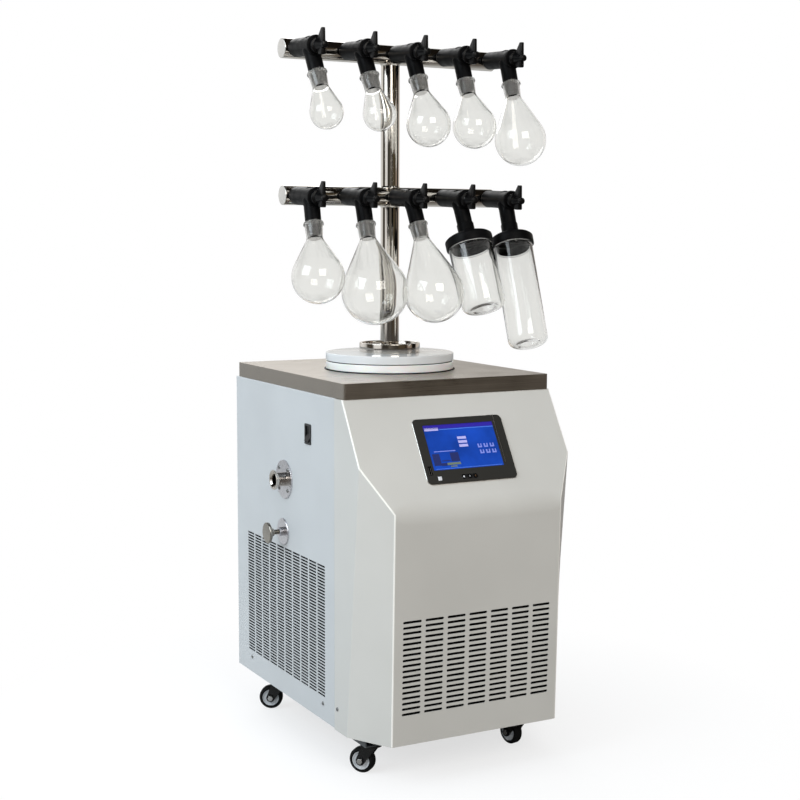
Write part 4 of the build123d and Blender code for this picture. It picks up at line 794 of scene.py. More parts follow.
def front_slots():
    """Round-ended slots of the front grille, lying in the front plane."""
    lean = (BROW[0] - FOOT[0]) / (BROW[1] - FOOT[1])
    width, height = FRONT_GRILLE.width, FRONT_GRILLE.height
    outline = rounded_rectangle(width, height, height / 2 - 0.01, 4)
    for across, up in slot_middles(FRONT_GRILLE):
        yield [Vector((across + x, FOOT[0] + (up + z - FOOT[1]) * lean, up + z)) * MM for x, z in outline]


def side_openings():
    """Square slots of the left grille and the holes behind its fittings, lying in the side plane."""
    half_width, half_height = SIDE_GRILLE.width / 2, SIDE_GRILLE.height / 2
    slot = [(a * half_width, b * half_height) for a, b in ((-1, -1), (1, -1), (1, 1), (-1, 1))]
    openings = [(middle, slot) for middle in slot_middles(SIDE_GRILLE)]
    openings += [((y, z), circle(radius, 32)) for y, z, radius in ROUND_HOLES]
    openings.append((SWITCH_HOLE[:2], rounded_rectangle(*SWITCH_HOLE[2:], 1.0, 2)))
    for (y, z), outline in openings:
        yield [Vector((-HALF_WIDTH, y + a, z + b)) * MM for a, b in outline]


def side_skin(side):
    """A side panel's face with its three rounded returns."""
    low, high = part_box("left_side_panel" if side < 0 else "right_side_panel")
    face_x, inner_x = (low.x, high.x) if side < 0 else (high.x, low.x)
    corners = [(SEAM * MM, low.z), (high.y, low.z), (high.y, high.z), (SEAM * MM, high.z)]
    bm = bmesh.new()
    outer = [bm.verts.new((face_x, y, z)) for y, z in corners]
    inner = [bm.verts.new((inner_x, y, z)) for y, z in corners]
    face = bm.faces.new(outer)
    for a, b in ((1, 2), (2, 3), (3, 0)):
        bm.faces.new((outer[a], outer[b], inner[b], inner[a]))
    bmesh.ops.recalc_face_normals(bm, faces=bm.faces)
    if face.normal.x * side < 0:
        bmesh.ops.reverse_faces(bm, faces=bm.faces)
    folds = [bm.edges.get(pair) for pair in (outer[1:3], outer[2:4], (outer[3], outer[0]))]
    folds += [bm.edges.get((outer[k], inner[k])) for k in (2, 3)]
    bmesh.ops.bevel(
        bm, geom=folds, offset=SIDE_FOLD * MM, segments=3, profile=0.5, affect="EDGES", clamp_overlap=False
    )
    return bm


def sheet_metal(made):
    """Give a skin the sheet's thickness and shade its flats evenly."""
    thicken(made, SHEET)
    apply_modifiers(made)
    even_shading(made, 50)


def flat_face(bm, direction):
    """The largest face that looks about one way."""
    return max(bm.faces, key=lambda f: f.calc_area() if f.normal.dot(direction) > 0.95 else 0)


class FREEZE_OT_front_shell(bpy.types.Operator):
    """Folded front shell with rounded folds, twisted corner facets and a slotted grille"""

    bl_idname = "freeze.front_shell"
    bl_label = "Front Shell"

    def execute(self, context):
        skin = shell_skin()
        slope = slope_frame()
        left, right, bottom, top = DISPLAY_HOLE
        corners = ((left, bottom), (right, bottom), (right, top), (left, top))
        opening = [slope @ (Vector((x, y, 0)) * MM) for x, y in corners]
        punch(skin, flat_face(skin, Vector((0, -1, 0))), front_slots())
        punch(skin, flat_face(skin, slope.to_3x3() @ Vector((0, 0, 1))), [opening])
        # The second finish paints a highlight along the folds.
        shell = piece(
            "front_shell", skin, ("warm_grey_powder_coat", "painted_fold_highlight"), replaces=("front_panel",),
            sharp=60,
        )
        sheet_metal(shell)
        return {"FINISHED"}


class FREEZE_OT_panels(bpy.types.Operator):
    """Side and rear panels, base frame and screws"""

    bl_idname = "freeze.panels"
    bl_label = "Panels and Base"

    def execute(self, context):
        dress("rear_panel", "cool_grey_powder_coat")
        for side, name in ((-1, "left"), (1, "right")):
            skin = side_skin(side)
            if side < 0:
                punch(skin, flat_face(skin, Vector((side, 0, 0))), side_openings())
            panel = piece(
                f"{name}_panel", skin, "cool_grey_powder_coat", replaces=(f"{name}_side_panel",),
                sharp=50,
            )
            sheet_metal(panel)
        dress("base_frame", "grey_enamel")
        dress("panel_screws", "zinc_plate")
        # Near-black sheets behind the two grilles: painted shade that blackens the slots.
        filters = [block(*SIDE_SHADE_SHEET), moved(block(*FRONT_SHADE_SHEET), front_frame())]
        piece("grille_shade_sheets", joined(filters), "filter_foam")
        dress("power_inlet", "black_abs")
        return {"FINISHED"}


class FREEZE_OT_worktop(bpy.types.Operator):
    """Brushed steel worktop with softened edges and the trap's opening"""

    bl_idname = "freeze.worktop"
    bl_label = "Worktop"

    def execute(self, context):
        low, high = (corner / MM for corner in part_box("worktop"))
        middle = (low + high) / 2
        outline = rounded_rectangle(high.x - low.x, high.y - low.y, WORKTOP_CORNER, 4)
        bm = bmesh.new()
        bm.faces.new([bm.verts.new(Vector((x + middle.x, y + middle.y, high.z)) * MM) for x, y in outline])
        bm.normal_update()
        hole = [Vector((x, y, high.z)) * MM for x, y in circle(TRAP_HOLE, 96)]
        punch(bm, flat_face(bm, Vector((0, 0, 1))), [hole])
        top = piece("steel_worktop", bm, "brushed_stainless", replaces=("worktop",), sharp=50)
        thicken(top, high.z - low.z)
        soft = top.modifiers.new("edges", "BEVEL")
        soft.width = WORKTOP_EDGE * MM
        soft.segments = 3
        soft.limit_method = "ANGLE"
        soft.angle_limit = math.radians(50)
        apply_modifiers(top)
        even_shading(top, 60)
        return {"FINISHED"}


class FREEZE_OT_machinery(bpy.types.Operator):
    """Refrigeration parts inside the cabinet"""

    bl_idname = "freeze.machinery"
    bl_label = "Machinery"

    def execute(self, context):
        finishes = {
            "trap_pot": "satin_plate_steel",
            "evaporator_coil": "drawn_copper",
            "trap_insulation": "insulation_foam",
            "condenser": "bare_aluminium",
            "fan_shroud": "grey_enamel",
            "fan_rotor": "grey_polypropylene",
            "compressor": "black_enamel",
            "control_box": "grey_enamel",
            "caster_plates": "zinc_plate",
        }
        for node, finish in finishes.items():
            dress(node, finish)
        return {"FINISHED"}


# ---------------------------------------------------------------- cold trap and manifold
class FREEZE_OT_cold_trap(bpy.types.Operator):
    """Seal, cloudy collar, gasket and clear lid over the cold trap"""

    bl_idname = "freeze.cold_trap"
    bl_label = "Cold Trap Lid"

    def execute(self, context):
        low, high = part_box("trap_collar")
        collar_low, collar_high = low.z / MM, high.z / MM
        radius = (high.x - low.x) / 2 / MM
        collar = [
            (COLLAR_BORE, collar_low), (radius, collar_low, 1.2), (radius, collar_high, 1.2),
            (COLLAR_BORE, collar_high),
        ]
        piece(
            "collar_ring", turned(collar, 128), "cloudy_acrylic", replaces=("trap_collar",)
        )
        base_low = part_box("trap_seals")[0].z / MM
        inner, outer, thick = SEAL
        seal = [(inner, base_low), (outer, base_low), (outer, base_low + thick, 0.7), (inner, base_low + thick)]
        lid_low, lid_high = (corner.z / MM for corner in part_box("lid"))
        inner, outer, thick = GASKET
        lid_seat = collar_high + thick
        gasket = [(inner, collar_high), (outer, collar_high), (outer, lid_seat), (inner, lid_seat)]
        seals = joined([turned(seal, 128), lathe(gasket, 128, ring=True)])
        piece("lid_seals", seals, "nitrile_seal", replaces=("trap_seals",))
        bore = TUBE + 0.6
        disc = [
            (bore, lid_low), (LID_SPIGOT, lid_low, 0.6), (LID_SPIGOT, lid_seat), (radius, lid_seat, 1.5),
            (radius, lid_high, 1.5), (bore, lid_high),
        ]
        piece("clear_lid", turned(disc, 128), "clear_acrylic", replaces=("lid",))
        return {"FINISHED"}


def end_cap(x, z, facing):
    """A domed, linished plug in the end of a crossbar."""
    outline = rounded([(0, -1.5), (TUBE - 0.1, -1.5), (TUBE - 0.1, 0.0, 1.2), (0, 0.6)])
    return moved(lathe(outline), along((x, 0, z), (facing, 0, 0)))


class FREEZE_OT_manifold(bpy.types.Operator):
    """Polished flange, column and two crossbars with their weld beads"""

    bl_idname = "freeze.manifold"
    bl_label = "Manifold"

    def execute(self, context):
        low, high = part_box("manifold_column")
        flange_radius = (high.x - low.x) / 2 / MM
        flange_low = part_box("lid")[1].z / MM
        flange_high = flange_low + FLANGE
        heights = {row: JOINTS[f"{row}_valve_turn_1"]["pos_m"][2] / MM for row in ROWS}
        foot = low.z / MM
        bore = TUBE - TUBE_WALL
        column = [
            (bore, foot), (TUBE, foot), (TUBE, flange_low), (flange_radius, flange_low, 0.8),
            (flange_radius, flange_high, 1.4), (flange_radius - 4.5, flange_high, 1.4),
            (flange_radius - 4.5, flange_high - 4, 1.0), (TUBE + 2.2, flange_high - 4), (TUBE, flange_high - 1.8),
            (TUBE, heights["upper"]), (bore, heights["upper"]),
        ]
        parts = [turned(column, 96)]
        upper, lower = heights["upper"], heights["lower"]
        for z, facing in ((lower - TUBE, -1), (lower + TUBE, 1), (upper - TUBE, -1)):
            bead = [(TUBE - 0.5, -facing * 3.0), (TUBE + 1.8, -facing * 1.2, 0.8), (TUBE - 0.2, facing * 2.6)]
            parts.append(moved(lathe(rounded(bead)), Matrix.Translation((0, 0, z * MM))))
        piece(
            "column", joined(parts), "polished_stainless", replaces=("manifold_column",),
            sharp=30,
        )
        for row in ROWS:
            node = f"{row}_crossbar"
            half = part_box(node)[1].x / MM
            z = heights[row]
            wall = [(bore, -half + 1), (TUBE, -half + 0.6, 0.8), (TUBE, half - 0.6, 0.8), (bore, half - 1)]
            tube = moved(lathe(rounded(wall), 96), along((0, 0, z), (1, 0, 0)))
            inner, outer, start, end = NIPPLE
            section = [(inner, start), (outer, start), (outer, end), (inner, end)]
            nipples = [moved(lathe(section, 36, ring=True), valve_frame(row, port)) for port in PORTS]
            piece(
                f"{row}_bar", joined([tube, *nipples]), "polished_stainless", replaces=(node,),
                sharp=30,
            )
            caps = joined([end_cap(-half + 0.6, z, -1), end_cap(half - 0.6, z, 1)])
            piece(f"{row}_bar_ends", caps, "linished_cap_steel")
        return {"FINISHED"}


def valve_tee(row, port):
    """A valve's sleeve and its branch with the tapered plug."""
    sleeve = rounded(
        [
            (11.2, SLEEVE_START), (15.2, SLEEVE_START, 0.8), (17.5, SLEEVE_START + 6, 3),
            (17.5, SLEEVE_END - 8, 1), (19.5, SLEEVE_END - 6.5, 0.8), (19.5, SLEEVE_END, 0.8),
            (12.2, SLEEVE_END), (12.2, SLEEVE_END - 40),
        ]
    )
    branch = rounded(
        [
            (0, -16), (10, -16), (17.6, 8, 8), (15.7, 20, 10), (15.5, BRANCH_LENGTH - 0.2, 1.0),
            (14.2, BRANCH_LENGTH, 0.3), (12.9, BRANCH_LENGTH + PLUG, 1.0), (7.5, BRANCH_LENGTH + PLUG, 0.6),
            (7.5, BRANCH_LENGTH + 4),
        ]
    )
    down = branch_frame(row, port, -BRANCH_LENGTH)
    return [moved(lathe(sleeve, 64), valve_frame(row, port)), moved(lathe(branch, 64), down)]


class FREEZE_OT_valves(bpy.types.Operator):
    """Rubber valve bodies on both crossbars"""

    bl_idname = "freeze.valves"
    bl_label = "Valve Bodies"

    def execute(self, context):
        for row in ROWS:
            parts = [part for port in PORTS for part in valve_tee(row, port)]
            piece(
                f"{row}_valve_tees", joined(parts), "epdm_rubber", replaces=(f"{row}_valve_bodies",),
            )
        return {"FINISHED"}


def pointer_knob():
    """Core, collar, pointer blade and round boss of one valve knob, in the valve's own frame."""
    low = SLEEVE_END + 0.4
    collar = rounded(
        [
            (0, 60), (12, 60, 0.5), (12, low), (15, low, 0.6), (15, low + 9, 1.2), (11, low + 9.5, 1.5),
            (10, low + 17, 1.5), (6.5, low + 31, 0.8), (6.5, low + 37.5, 1.2), (0, low + 39),
        ]
    )
    side = [
        (31, low + 22), (31, low + 30), (29.5, low + 31), (-16, low + 31), (-18, low + 29), (-18, low + 19),
        (-9, low + 10), (10.3, low + 10),
    ]
    blade = prism(side, -4.9, 4.9, 1.0)
    for v in blade.verts:
        v.co.z *= 1 - 0.5 * min(max((v.co.x / MM - 9) / 22, 0), 1)
    turn = Matrix(((0, 0, 1, 0), (1, 0, 0, 0), (0, 1, 0, 0), (0, 0, 0, 1)))
    return joined([lathe(collar, 64), moved(blade, turn)])


class FREEZE_OT_knobs(bpy.types.Operator):
    """Pointer knobs, each turning in its valve"""

    bl_idname = "freeze.knobs"
    bl_label = "Valve Knobs"

    def execute(self, context):
        for row in ROWS:
            for port in PORTS:
                knob = moved(pointer_knob(), valve_frame(row, port))
                piece(
                    f"{row}_knob_piece_{port}", knob, "black_nylon", body=f"{row}_knob_{port}",
                    replaces=(f"{row}_valve_knob_{port}",), sharp=30,
                )
        return {"FINISHED"}


# ---------------------------------------------------------------- vessels
def pear_outline(foot_radius, neck_low, bulb_radius, bulb_depth, steps=40):
    """The cone and bulb below a neck, from its foot to the bottom pole."""
    drop = bulb_depth - neck_low
    reach = math.hypot(foot_radius, drop)
    angle = math.acos(bulb_radius / reach) + math.atan2(foot_radius, drop)
    points = []
    for k in range(steps + 1):
        a = angle + (math.pi - angle) * k / steps
        points.append((bulb_radius * math.sin(a), bulb_depth - bulb_radius * math.cos(a)))
    points[-1] = (0.0, bulb_depth + bulb_radius)
    return points


def softened_neck(foot_radius, neck_low, touch, bend):
    """A smooth bend where the neck opens into the cone."""
    return rounded([(foot_radius, neck_low - 16), (foot_radius, neck_low, bend), touch], 7)[1:-1]


def flask_outline(bulb_radius, bulb_depth):
    """Section of a flask's wall: inner pole, neck, beaded mouth, then the outside down to the outer pole."""
    outer = pear_outline(15.6, 34, bulb_radius, bulb_depth)
    inner = pear_outline(13.0, 33, bulb_radius - GLASS_WALL, bulb_depth)
    inside = [(14.6, 0.4), (14.2, 14)] + softened_neck(13.0, 33, inner[0], 6) + inner
    outside = [(17.2, 7.5), (16.6, 16)] + softened_neck(15.6, 34, outer[0], 18) + outer
    bead = rounded([(14.6, 0.0), (19.2, 0.0, 1.4), (19.7, 3.6, 2.2), (17.2, 6.2, 1.0), (17.2, 7.5)], 4)
    return inside[::-1] + bead[1:-1] + outside


def glass_vessel(points, ground, matrix):
    """Turn a vessel's wall and mark its ground zone with the second material."""
    bm = lathe(points, 96)
    for face in bm.faces:
        middle = face.calc_center_median() / MM
        inside = middle.xy.length < 15.2
        face.material_index = 1 if inside and ground[0] < middle.z < ground[1] else 0
    return moved(bm, matrix)


class FREEZE_OT_flasks(bpy.types.Operator):
    """Pear-shaped flasks with ground necks"""

    bl_idname = "freeze.flasks"
    bl_label = "Flasks"

    def execute(self, context):
        ground = (0.8, context.scene.freeze_dryer_sizes.frost / MM)
        for name, (radius, depth, places) in FLASKS.items():
            vessels = [
                glass_vessel(flask_outline(radius, depth), ground, branch_frame(row, port, 0.15))
                for row, port in places
            ]
            piece(
                f"{name}_glass", joined(vessels), ("borosilicate_glass", "ground_glass"), replaces=(name,),
                sharp=50,
            )
        return {"FINISHED"}


def jar_outline(radius, height):
    """Section of a jar's wall, with a thick rolled rim and a pushed-up base."""
    bore = radius - JAR_WALL
    bead = CAP_SKIRT + 2.4
    outer = rounded(
        [
            (radius, 5.5), (radius, bead - 1.6, 0.6), (radius + 1.4, bead, 0.9), (radius, bead + 1.6, 0.6),
            (radius, height, 14), (radius * 0.55, height, 3), (radius * 0.45, height - 1.6, 4), (0, height - 1.8),
        ],
        8,
    )
    inner = rounded(
        [
            (0, height - 1.8 - JAR_WALL), (radius * 0.45, height - 1.6 - JAR_WALL, 4),
            (bore, height - JAR_WALL, 11.5), (bore, 4.5),
        ],
        8,
    )
    rim = rounded([(bore - 0.6, 3.2, 1.5), (bore - 0.6, 0.0, 1.4), (radius, 0.0, 1.4), (radius, 5.5)], 4)
    return inner + rim[1:] + outer[1:]


def jar_cap(radius):
    """A jar's rubber cap: neck, sloping top, thick skirt."""
    outer = radius + CAP_WALL
    inner = radius + 0.15
    rim = CAP_NECK + CAP_TOP
    section = [
        (14.7, 0), (17, 0, 0.8), (17, CAP_NECK - 6, 4), (23, CAP_NECK, 4), (outer - 4, CAP_NECK + 0.4, 2.5),
        (outer, CAP_NECK + 4, 2), (outer, rim + CAP_SKIRT, 1.0), (inner, rim + CAP_SKIRT, 0.5), (inner, rim - 0.1),
        (14.7, rim - 0.1),
    ]
    return turned(section, 96)


class FREEZE_OT_jars(bpy.types.Operator):
    """Two straight jars and their rubber caps"""

    bl_idname = "freeze.jars"
    bl_label = "Jars"

    def execute(self, context):
        caps = []
        for name, (radius, height, port) in JARS.items():
            glass = moved(lathe(jar_outline(radius, height), 96), branch_frame("lower", port, CAP_NECK + CAP_TOP))
            piece(f"{name}_glass", glass, "borosilicate_glass", replaces=(name,), sharp=50)
            caps.append(moved(jar_cap(radius), branch_frame("lower", port, 0.15)))
        piece("cap_pair", joined(caps), "epdm_rubber", replaces=("jar_caps",))
        return {"FINISHED"}


# ---------------------------------------------------------------- control panel
# Plain shapes on the display: left, right, low and high, as fractions from its lower left.
ICONS = [(0.705 + 0.088 * i + 0.012 * j, 0.435 - 0.135 * j) for i in range(3) for j in range(2)]
SHAPES = {
    "display_header": [(0.0, 1.0, 0.91, 1.0)],
    "display_line": [(0.22, 1.0, 0.885, 0.902), (0.04, 0.98, 0.02, 0.032)],
    "display_pale": [
        (0.015, 0.21, 0.875, 0.94), (0.445, 0.57, 0.655, 0.712), (0.445, 0.57, 0.565, 0.622),
        (0.445, 0.57, 0.478, 0.535),
    ],
    "display_icon": [(x, x + 0.058, y, y + 0.085) for x, y in ICONS] + [(0.07, 0.37, 0.40, 0.418)],
    "display_line_marks": [(x + 0.02, x + 0.04, y + 0.03, y + 0.09) for x, y in ICONS],
    "display_dark": [
        (0.03, 0.13, 0.10, 0.36), (0.15, 0.27, 0.19, 0.21), (0.28, 0.40, 0.17, 0.37), (0.13, 0.28, 0.09, 0.15),
    ],
    "display_olive": [(0.21, 0.40, 0.10, 0.15), (0.25, 0.34, 0.055, 0.08)],
}


def on_screen(x0, x1, y0, y1, lift, thick=0.12):
    """A thin plate on the display, placed by fractions of its width and height from the lower left."""
    left = SCREEN_CENTRE[0] - SCREEN_SIZE[0] / 2
    low = SCREEN_CENTRE[1] - SCREEN_SIZE[1] / 2
    corner = (left + x0 * SCREEN_SIZE[0], low + y0 * SCREEN_SIZE[1], lift)
    far = (left + x1 * SCREEN_SIZE[0], low + y1 * SCREEN_SIZE[1], lift + thick)
    return moved(block(corner, far), slope_frame())


def bezel_edge():
    """The pale edge that runs round the bezel."""
    width, height, middle = BEZEL
    outline = rounded_rectangle(width, height, 10, 8)
    rim = [(x * 1.0045, y * 1.0062) for x, y in outline]
    bm = bmesh.new()
    rings = []
    for points, z in ((rim, 0.05), (rim, 1.6), (outline, 2.1), (outline, 0.05)):
        rings.append([bm.verts.new((x * MM, (y + middle) * MM, z * MM)) for x, y in points])
    for low, high in zip(rings, rings[1:] + rings[:1]):
        for k in range(len(low)):
            n = (k + 1) % len(low)
            bm.faces.new((low[k], low[n], high[n], high[k]))
    bmesh.ops.recalc_face_normals(bm, faces=bm.faces)
    return bm


class FREEZE_OT_control_panel(bpy.types.Operator):
    """Bezel, lit display with plain shapes, status lights and port cover"""

    bl_idname = "freeze.control_panel"
    bl_label = "Control Panel"

    def execute(self, context):
        slope = slope_frame()
        dress("screen_bezel", "bezel_abs")
        strip = on_screen(1.029, 1.037, 0.07, 1.14, BEZEL_TOP, 0.3)
        sockets = [moved(block((x, -162, 2.5), (x + 0.9, -147, 2.7)), slope) for x in SOCKETS]
        trim = joined([moved(bezel_edge(), slope), strip, *sockets])
        piece("bezel_trim", trim, "pale_edge_trim")
        dress("screen_display", "display_panel")
        for name, plates in SHAPES.items():
            finish = "display_panel" if name.endswith("marks") else name
            lift = GLASS_TOP + (0.13 if name in ("display_olive", "display_line_marks") else 0.0)
            piece(name + "_shapes", joined([on_screen(*p, lift) for p in plates]), finish)
        dress("bezel_fittings", "dark_lens")
        middle, pitch, down = LIGHTS
        place = Matrix.Translation(Vector((middle, down, 0)) * MM)
        pill = moved(prism(rounded_rectangle(36, 10, 4.9), 2.9, 3.2, 0.1), place)
        piece("light_surround", moved(pill, slope), "black_abs")
        for k, finish in enumerate(("white_lens", "dark_lens_lit", "amber_lens")):
            dome = rounded([(0, 3.0), (1.9, 3.0), (1.9, 3.9, 0.2), (0, 4.0)])
            place = slope @ Matrix.Translation(Vector((middle + (k - 1) * pitch, down, 0)) * MM)
            piece(f"light_{k + 1}", moved(lathe(dome, 32), place), finish)
        (left, low), (right, high) = SQUARE_LENS
        square = moved(block((left, low, 2.6), (right, high, 3.4), 0.4), slope)
        piece("square_lens", square, "white_lens")
        return {"FINISHED"}


# ---------------------------------------------------------------- side fittings
def hand_knob(stem_end):
    """The drain's turned knob and its threaded stem, from the knob's face to the stem's end."""
    back = 15.0
    knob = [(0, 0), (20, 0, 0.8), (21, 1, 0.6), (21, 5, 0.8), (8, 12, 1.0), (8, back, 0.5), (5, back)]
    z = back
    while z < stem_end - THREAD_PITCH:
        knob += [(5.0, z + 0.15), (4.5, z + 0.6), (5.0, z + 1.05)]
        z += THREAD_PITCH
    knob += [(5, stem_end), (0, stem_end)]
    return lathe(rounded(knob, 3))


class FREEZE_OT_side_fittings(bpy.types.Operator):
    """Vacuum port, drain valve and power switch on the left side"""

    bl_idname = "freeze.side_fittings"
    bl_label = "Side Fittings"

    def execute(self, context):
        low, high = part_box("vacuum_port")
        centre = (low + high) / 2 / MM
        face = low.x / MM
        wall = -HALF_WIDTH
        port = along((wall, centre.y, centre.z), (-1, 0, 0))
        reach = wall - face
        plate = turned([(14, 0), (39, 0), (39, 3, 0.7), (14.2, 3)], 96)
        piece(
            "port_plate", moved(plate, port), "satin_plate_steel", replaces=("vacuum_port",)
        )
        tube = turned(
            [
                (12, -120), (14, -120), (14, reach - 4.6, 1.0), (20, reach - 3, 0.5), (20, reach, 0.5),
                (16.2, reach, 0.4), (13.1, reach - 3), (13.1, reach - 4), (12, reach - 4),
            ]
        )
        piece("port_tube", moved(tube, port), "polished_stainless", sharp=30)
        knob_low, knob_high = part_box("drain_knob")
        knob_face = knob_low.x / MM
        knob_y, knob_z = (knob_low.y + knob_high.y) / 2 / MM, (knob_low.z + knob_high.z) / 2 / MM
        drain = along((knob_face, knob_y, knob_z), (1, 0, 0))
        piece(
            "drain_hand_knob", moved(hand_knob(wall - 0.5 - knob_face), drain), "turned_knob_steel",
            body="drain_knob", replaces=("drain_knob",), sharp=30,
        )
        dress("drain_valve_body", "satin_plate_steel")
        dress("power_switch_frame", "black_abs")
        dress("power_switch_rocker", "black_nylon")
        return {"FINISHED"}


# ---------------------------------------------------------------- casters
class FREEZE_OT_casters(bpy.types.Operator):
    """Tyres, pale hubs and chromed axle bolts of the four casters"""

    bl_idname = "freeze.casters"
    bl_label = "Casters"

    def execute(self, context):
        for corner in ("front_left", "front_right", "rear_left", "rear_right"):
            place = joint_frame(f"{corner}_roll")
            tyre = turned([(17.6, -10), (21, -10, 1.5), (25, -6, 3.0), (25, 6, 3.0), (21, 10, 1.5), (17.6, 10)])
            hub = turned(
                [
                    (4.1, -10.8), (8, -10.8, 0.6), (8, -7), (15.5, -7, 0.8), (16.2, -9.6, 0.4), (17.6, -9.6),
                    (17.6, 9.6), (16.2, 9.6, 0.4), (15.5, 7, 0.8), (8, 7), (8, 10.8, 0.6), (4.1, 10.8),
                ]
            )
            body = f"{corner}_wheel"
            piece(
                f"{corner}_tyre", moved(tyre, place), "tyre_rubber", body=body,
                replaces=(f"{corner}_caster_wheel",),
            )
            piece(f"{corner}_hub", moved(hub, place), "pale_hub_nylon", body=body)
            dress(f"{corner}_caster_fork", "black_enamel")
            heads = []
            for turn in (math.pi, 0.0):
                head = lathe(rounded([(0, 13.6), (7.2, 13.6), (7.2, 16.6, 0.8), (5.6, 17.9, 0.6), (0, 17.9)]), 6)
                heads.append(moved(head, place @ Matrix.Rotation(turn, 4, "X")))
            piece(f"{corner}_axle_heads", joined(heads), "chromed_bolt", body=f"{corner}_fork")
        return {"FINISHED"}


# ---------------------------------------------------------------- stage
# The room that the polished parts see, as shares of a turn: windows, pale walls and dark doorways.
ROOM_WALLS = (
    (0.00, "#3A352E"), (0.078, "#6E6A62"), (0.10, "#3E3A34"), (0.155, "#3E3A34"), (0.175, "#FFFFFF"),
    (0.245, "#FFFFFF"), (0.264, "#4A443C"), (0.335, "#4A443C"), (0.36, "#D6D6D4"), (0.40, "#FFFFFF"),
    (0.47, "#FFFFFF"), (0.50, "#DAD8D4"), (0.60, "#EAE6E0"), (0.74, "#D8CEC6"), (0.757, "#15120E"),
    (0.81, "#15120E"), (0.83, "#A8988A"), (0.87, "#A8988A"), (0.89, "#2A251D"), (0.92, "#554B3A"),
    (0.97, "#554B3A"), (1.00, "#3A352E"),
)
# Each lamp's place and size in metres, its share of the key level, and its colour.
LAMPS = {
    "left_lamp": ((-3.5, -0.5, 2.6), 2.4, 1.12, (0.84, 0.93, 1.0)),
    "front_lamp": ((-0.5, -4.0, 2.6), 2.2, 1.2, (1.0, 0.955, 0.895)),
    "rear_lamp": ((0.6, 2.8, 2.6), 1.6, 0.35, (1, 1, 1)),
}
LAMP_TARGET = (0, 0, 0.7)
CAMERA_PLACE = (-1.3994, -2.6590, 1.0269)
CAMERA_ANGLES = (-28.17, 6.49, 0.2)  # bearing, height and roll, in degrees
WHITE = (1, 1, 1, 1)


def seen_directly(tree):
    """1 for what the camera sees straight or through glass, and 0 for all other light."""
    rays = add(tree, "ShaderNodeLightPath").outputs
    return add(
        tree, "ShaderNodeMath", {0: rays["Is Camera Ray"], 1: rays["Is Transmission Ray"]}, operation="MAXIMUM"
    )


def lay_floor():
    """A floor that fades into the white backdrop a little way out from the casters."""
    bpy.ops.mesh.primitive_plane_add(size=24.0, location=(0, 0, 0))
    floor = bpy.context.object
    floor.name = "studio_floor"
    white, tree, shader, coords = start_material("studio_white", {"Roughness": 0.9, "Specular IOR Level": 0.1})
    distance = add(tree, "ShaderNodeVectorMath", {0: coords}, operation="LENGTH").outputs["Value"]
    span = {"Value": distance, "From Min": 0.2, "From Max": 0.9}
    fade = add(tree, "ShaderNodeMapRange", {**span, "To Min": 0.68, "To Max": 1.0})
    glow = add(tree, "ShaderNodeEmission", {"Color": WHITE, "Strength": 1.0})
    seen = seen_directly(tree)
    # It looks white, but what it gives back to the machine is a dimmer workshop floor.
    back = add(tree, "ShaderNodeSeparateXYZ", {"Vector": coords}).outputs["Y"]
    depth = add(tree, "ShaderNodeMapRange", {"Value": back, "From Min": -0.7, "From Max": 0.9})
    ends = {6: linear("#6A625A"), 7: linear("#D6D4D0")}
    bounced = add(tree, "ShaderNodeMix", {0: depth, **ends}, data_type="RGBA").outputs[2]
    tone = add(tree, "ShaderNodeMix", {0: seen, 6: bounced, 7: linear("#FBFBFB")}, data_type="RGBA").outputs[2]
    tree.links.new(tone, shader.inputs["Base Color"])
    amount = add(tree, "ShaderNodeMath", {0: fade, 1: seen}, operation="MULTIPLY")
    both = add(tree, "ShaderNodeMixShader", {0: amount, 1: shader, 2: glow})
    tree.links.new(both.outputs[0], material_output(tree).inputs["Surface"])
    floor.data.materials.append(white)


def surround(scene, level):
    """Soft light all round, a workshop for the polished parts, and white for the camera."""
    world = bpy.data.worlds.new("studio")
    scene.world = world
    world.use_nodes = True
    tree = world.node_tree
    tree.nodes.clear()
    direction = add(tree, "ShaderNodeTexCoord").outputs["Generated"]
    around = add(tree, "ShaderNodeSeparateXYZ", {"Vector": direction}).outputs
    bearing = add(tree, "ShaderNodeMath", {0: around["X"], 1: around["Y"]}, operation="ARCTAN2")
    turn = add(tree, "ShaderNodeMapRange", {"Value": bearing, "From Min": -math.pi, "From Max": math.pi})
    walls = add(tree, "ShaderNodeValToRGB", {"Fac": turn})
    stops = walls.color_ramp.elements
    while len(stops) < len(ROOM_WALLS):
        stops.new(0.5)
    for stop, (position, tone) in zip(stops, ROOM_WALLS):
        stop.position = position
        stop.color = linear(tone)
    ceiling = add(tree, "ShaderNodeMapRange", {"Value": around["Z"], "From Min": 0.30, "From Max": 0.55})
    room = add(tree, "ShaderNodeMix", {0: ceiling, 6: walls, 7: linear("#1A1612")}, data_type="RGBA").outputs[2]
    # Cool daylight from the left, less and warmer light from the right.
    sideways = add(tree, "ShaderNodeMapRange", {"Value": around["X"], "From Min": -0.6, "From Max": 0.6})
    ends = {6: linear("#E6F1FC"), 7: linear("#7A7570")}
    sky = add(tree, "ShaderNodeMix", {0: sideways, **ends}, data_type="RGBA").outputs[2]
    plain = add(tree, "ShaderNodeBackground", {"Color": sky, "Strength": level})
    studio = add(tree, "ShaderNodeBackground", {"Color": room, "Strength": 1.0})
    white = add(tree, "ShaderNodeBackground", {"Color": WHITE, "Strength": 1.0})
    glossy = add(tree, "ShaderNodeLightPath").outputs["Is Glossy Ray"]
    lit = add(tree, "ShaderNodeMixShader", {0: glossy, 1: plain, 2: studio})
    final = add(tree, "ShaderNodeMixShader", {0: seen_directly(tree), 1: lit, 2: white})
    add(tree, "ShaderNodeOutputWorld", {"Surface": final})


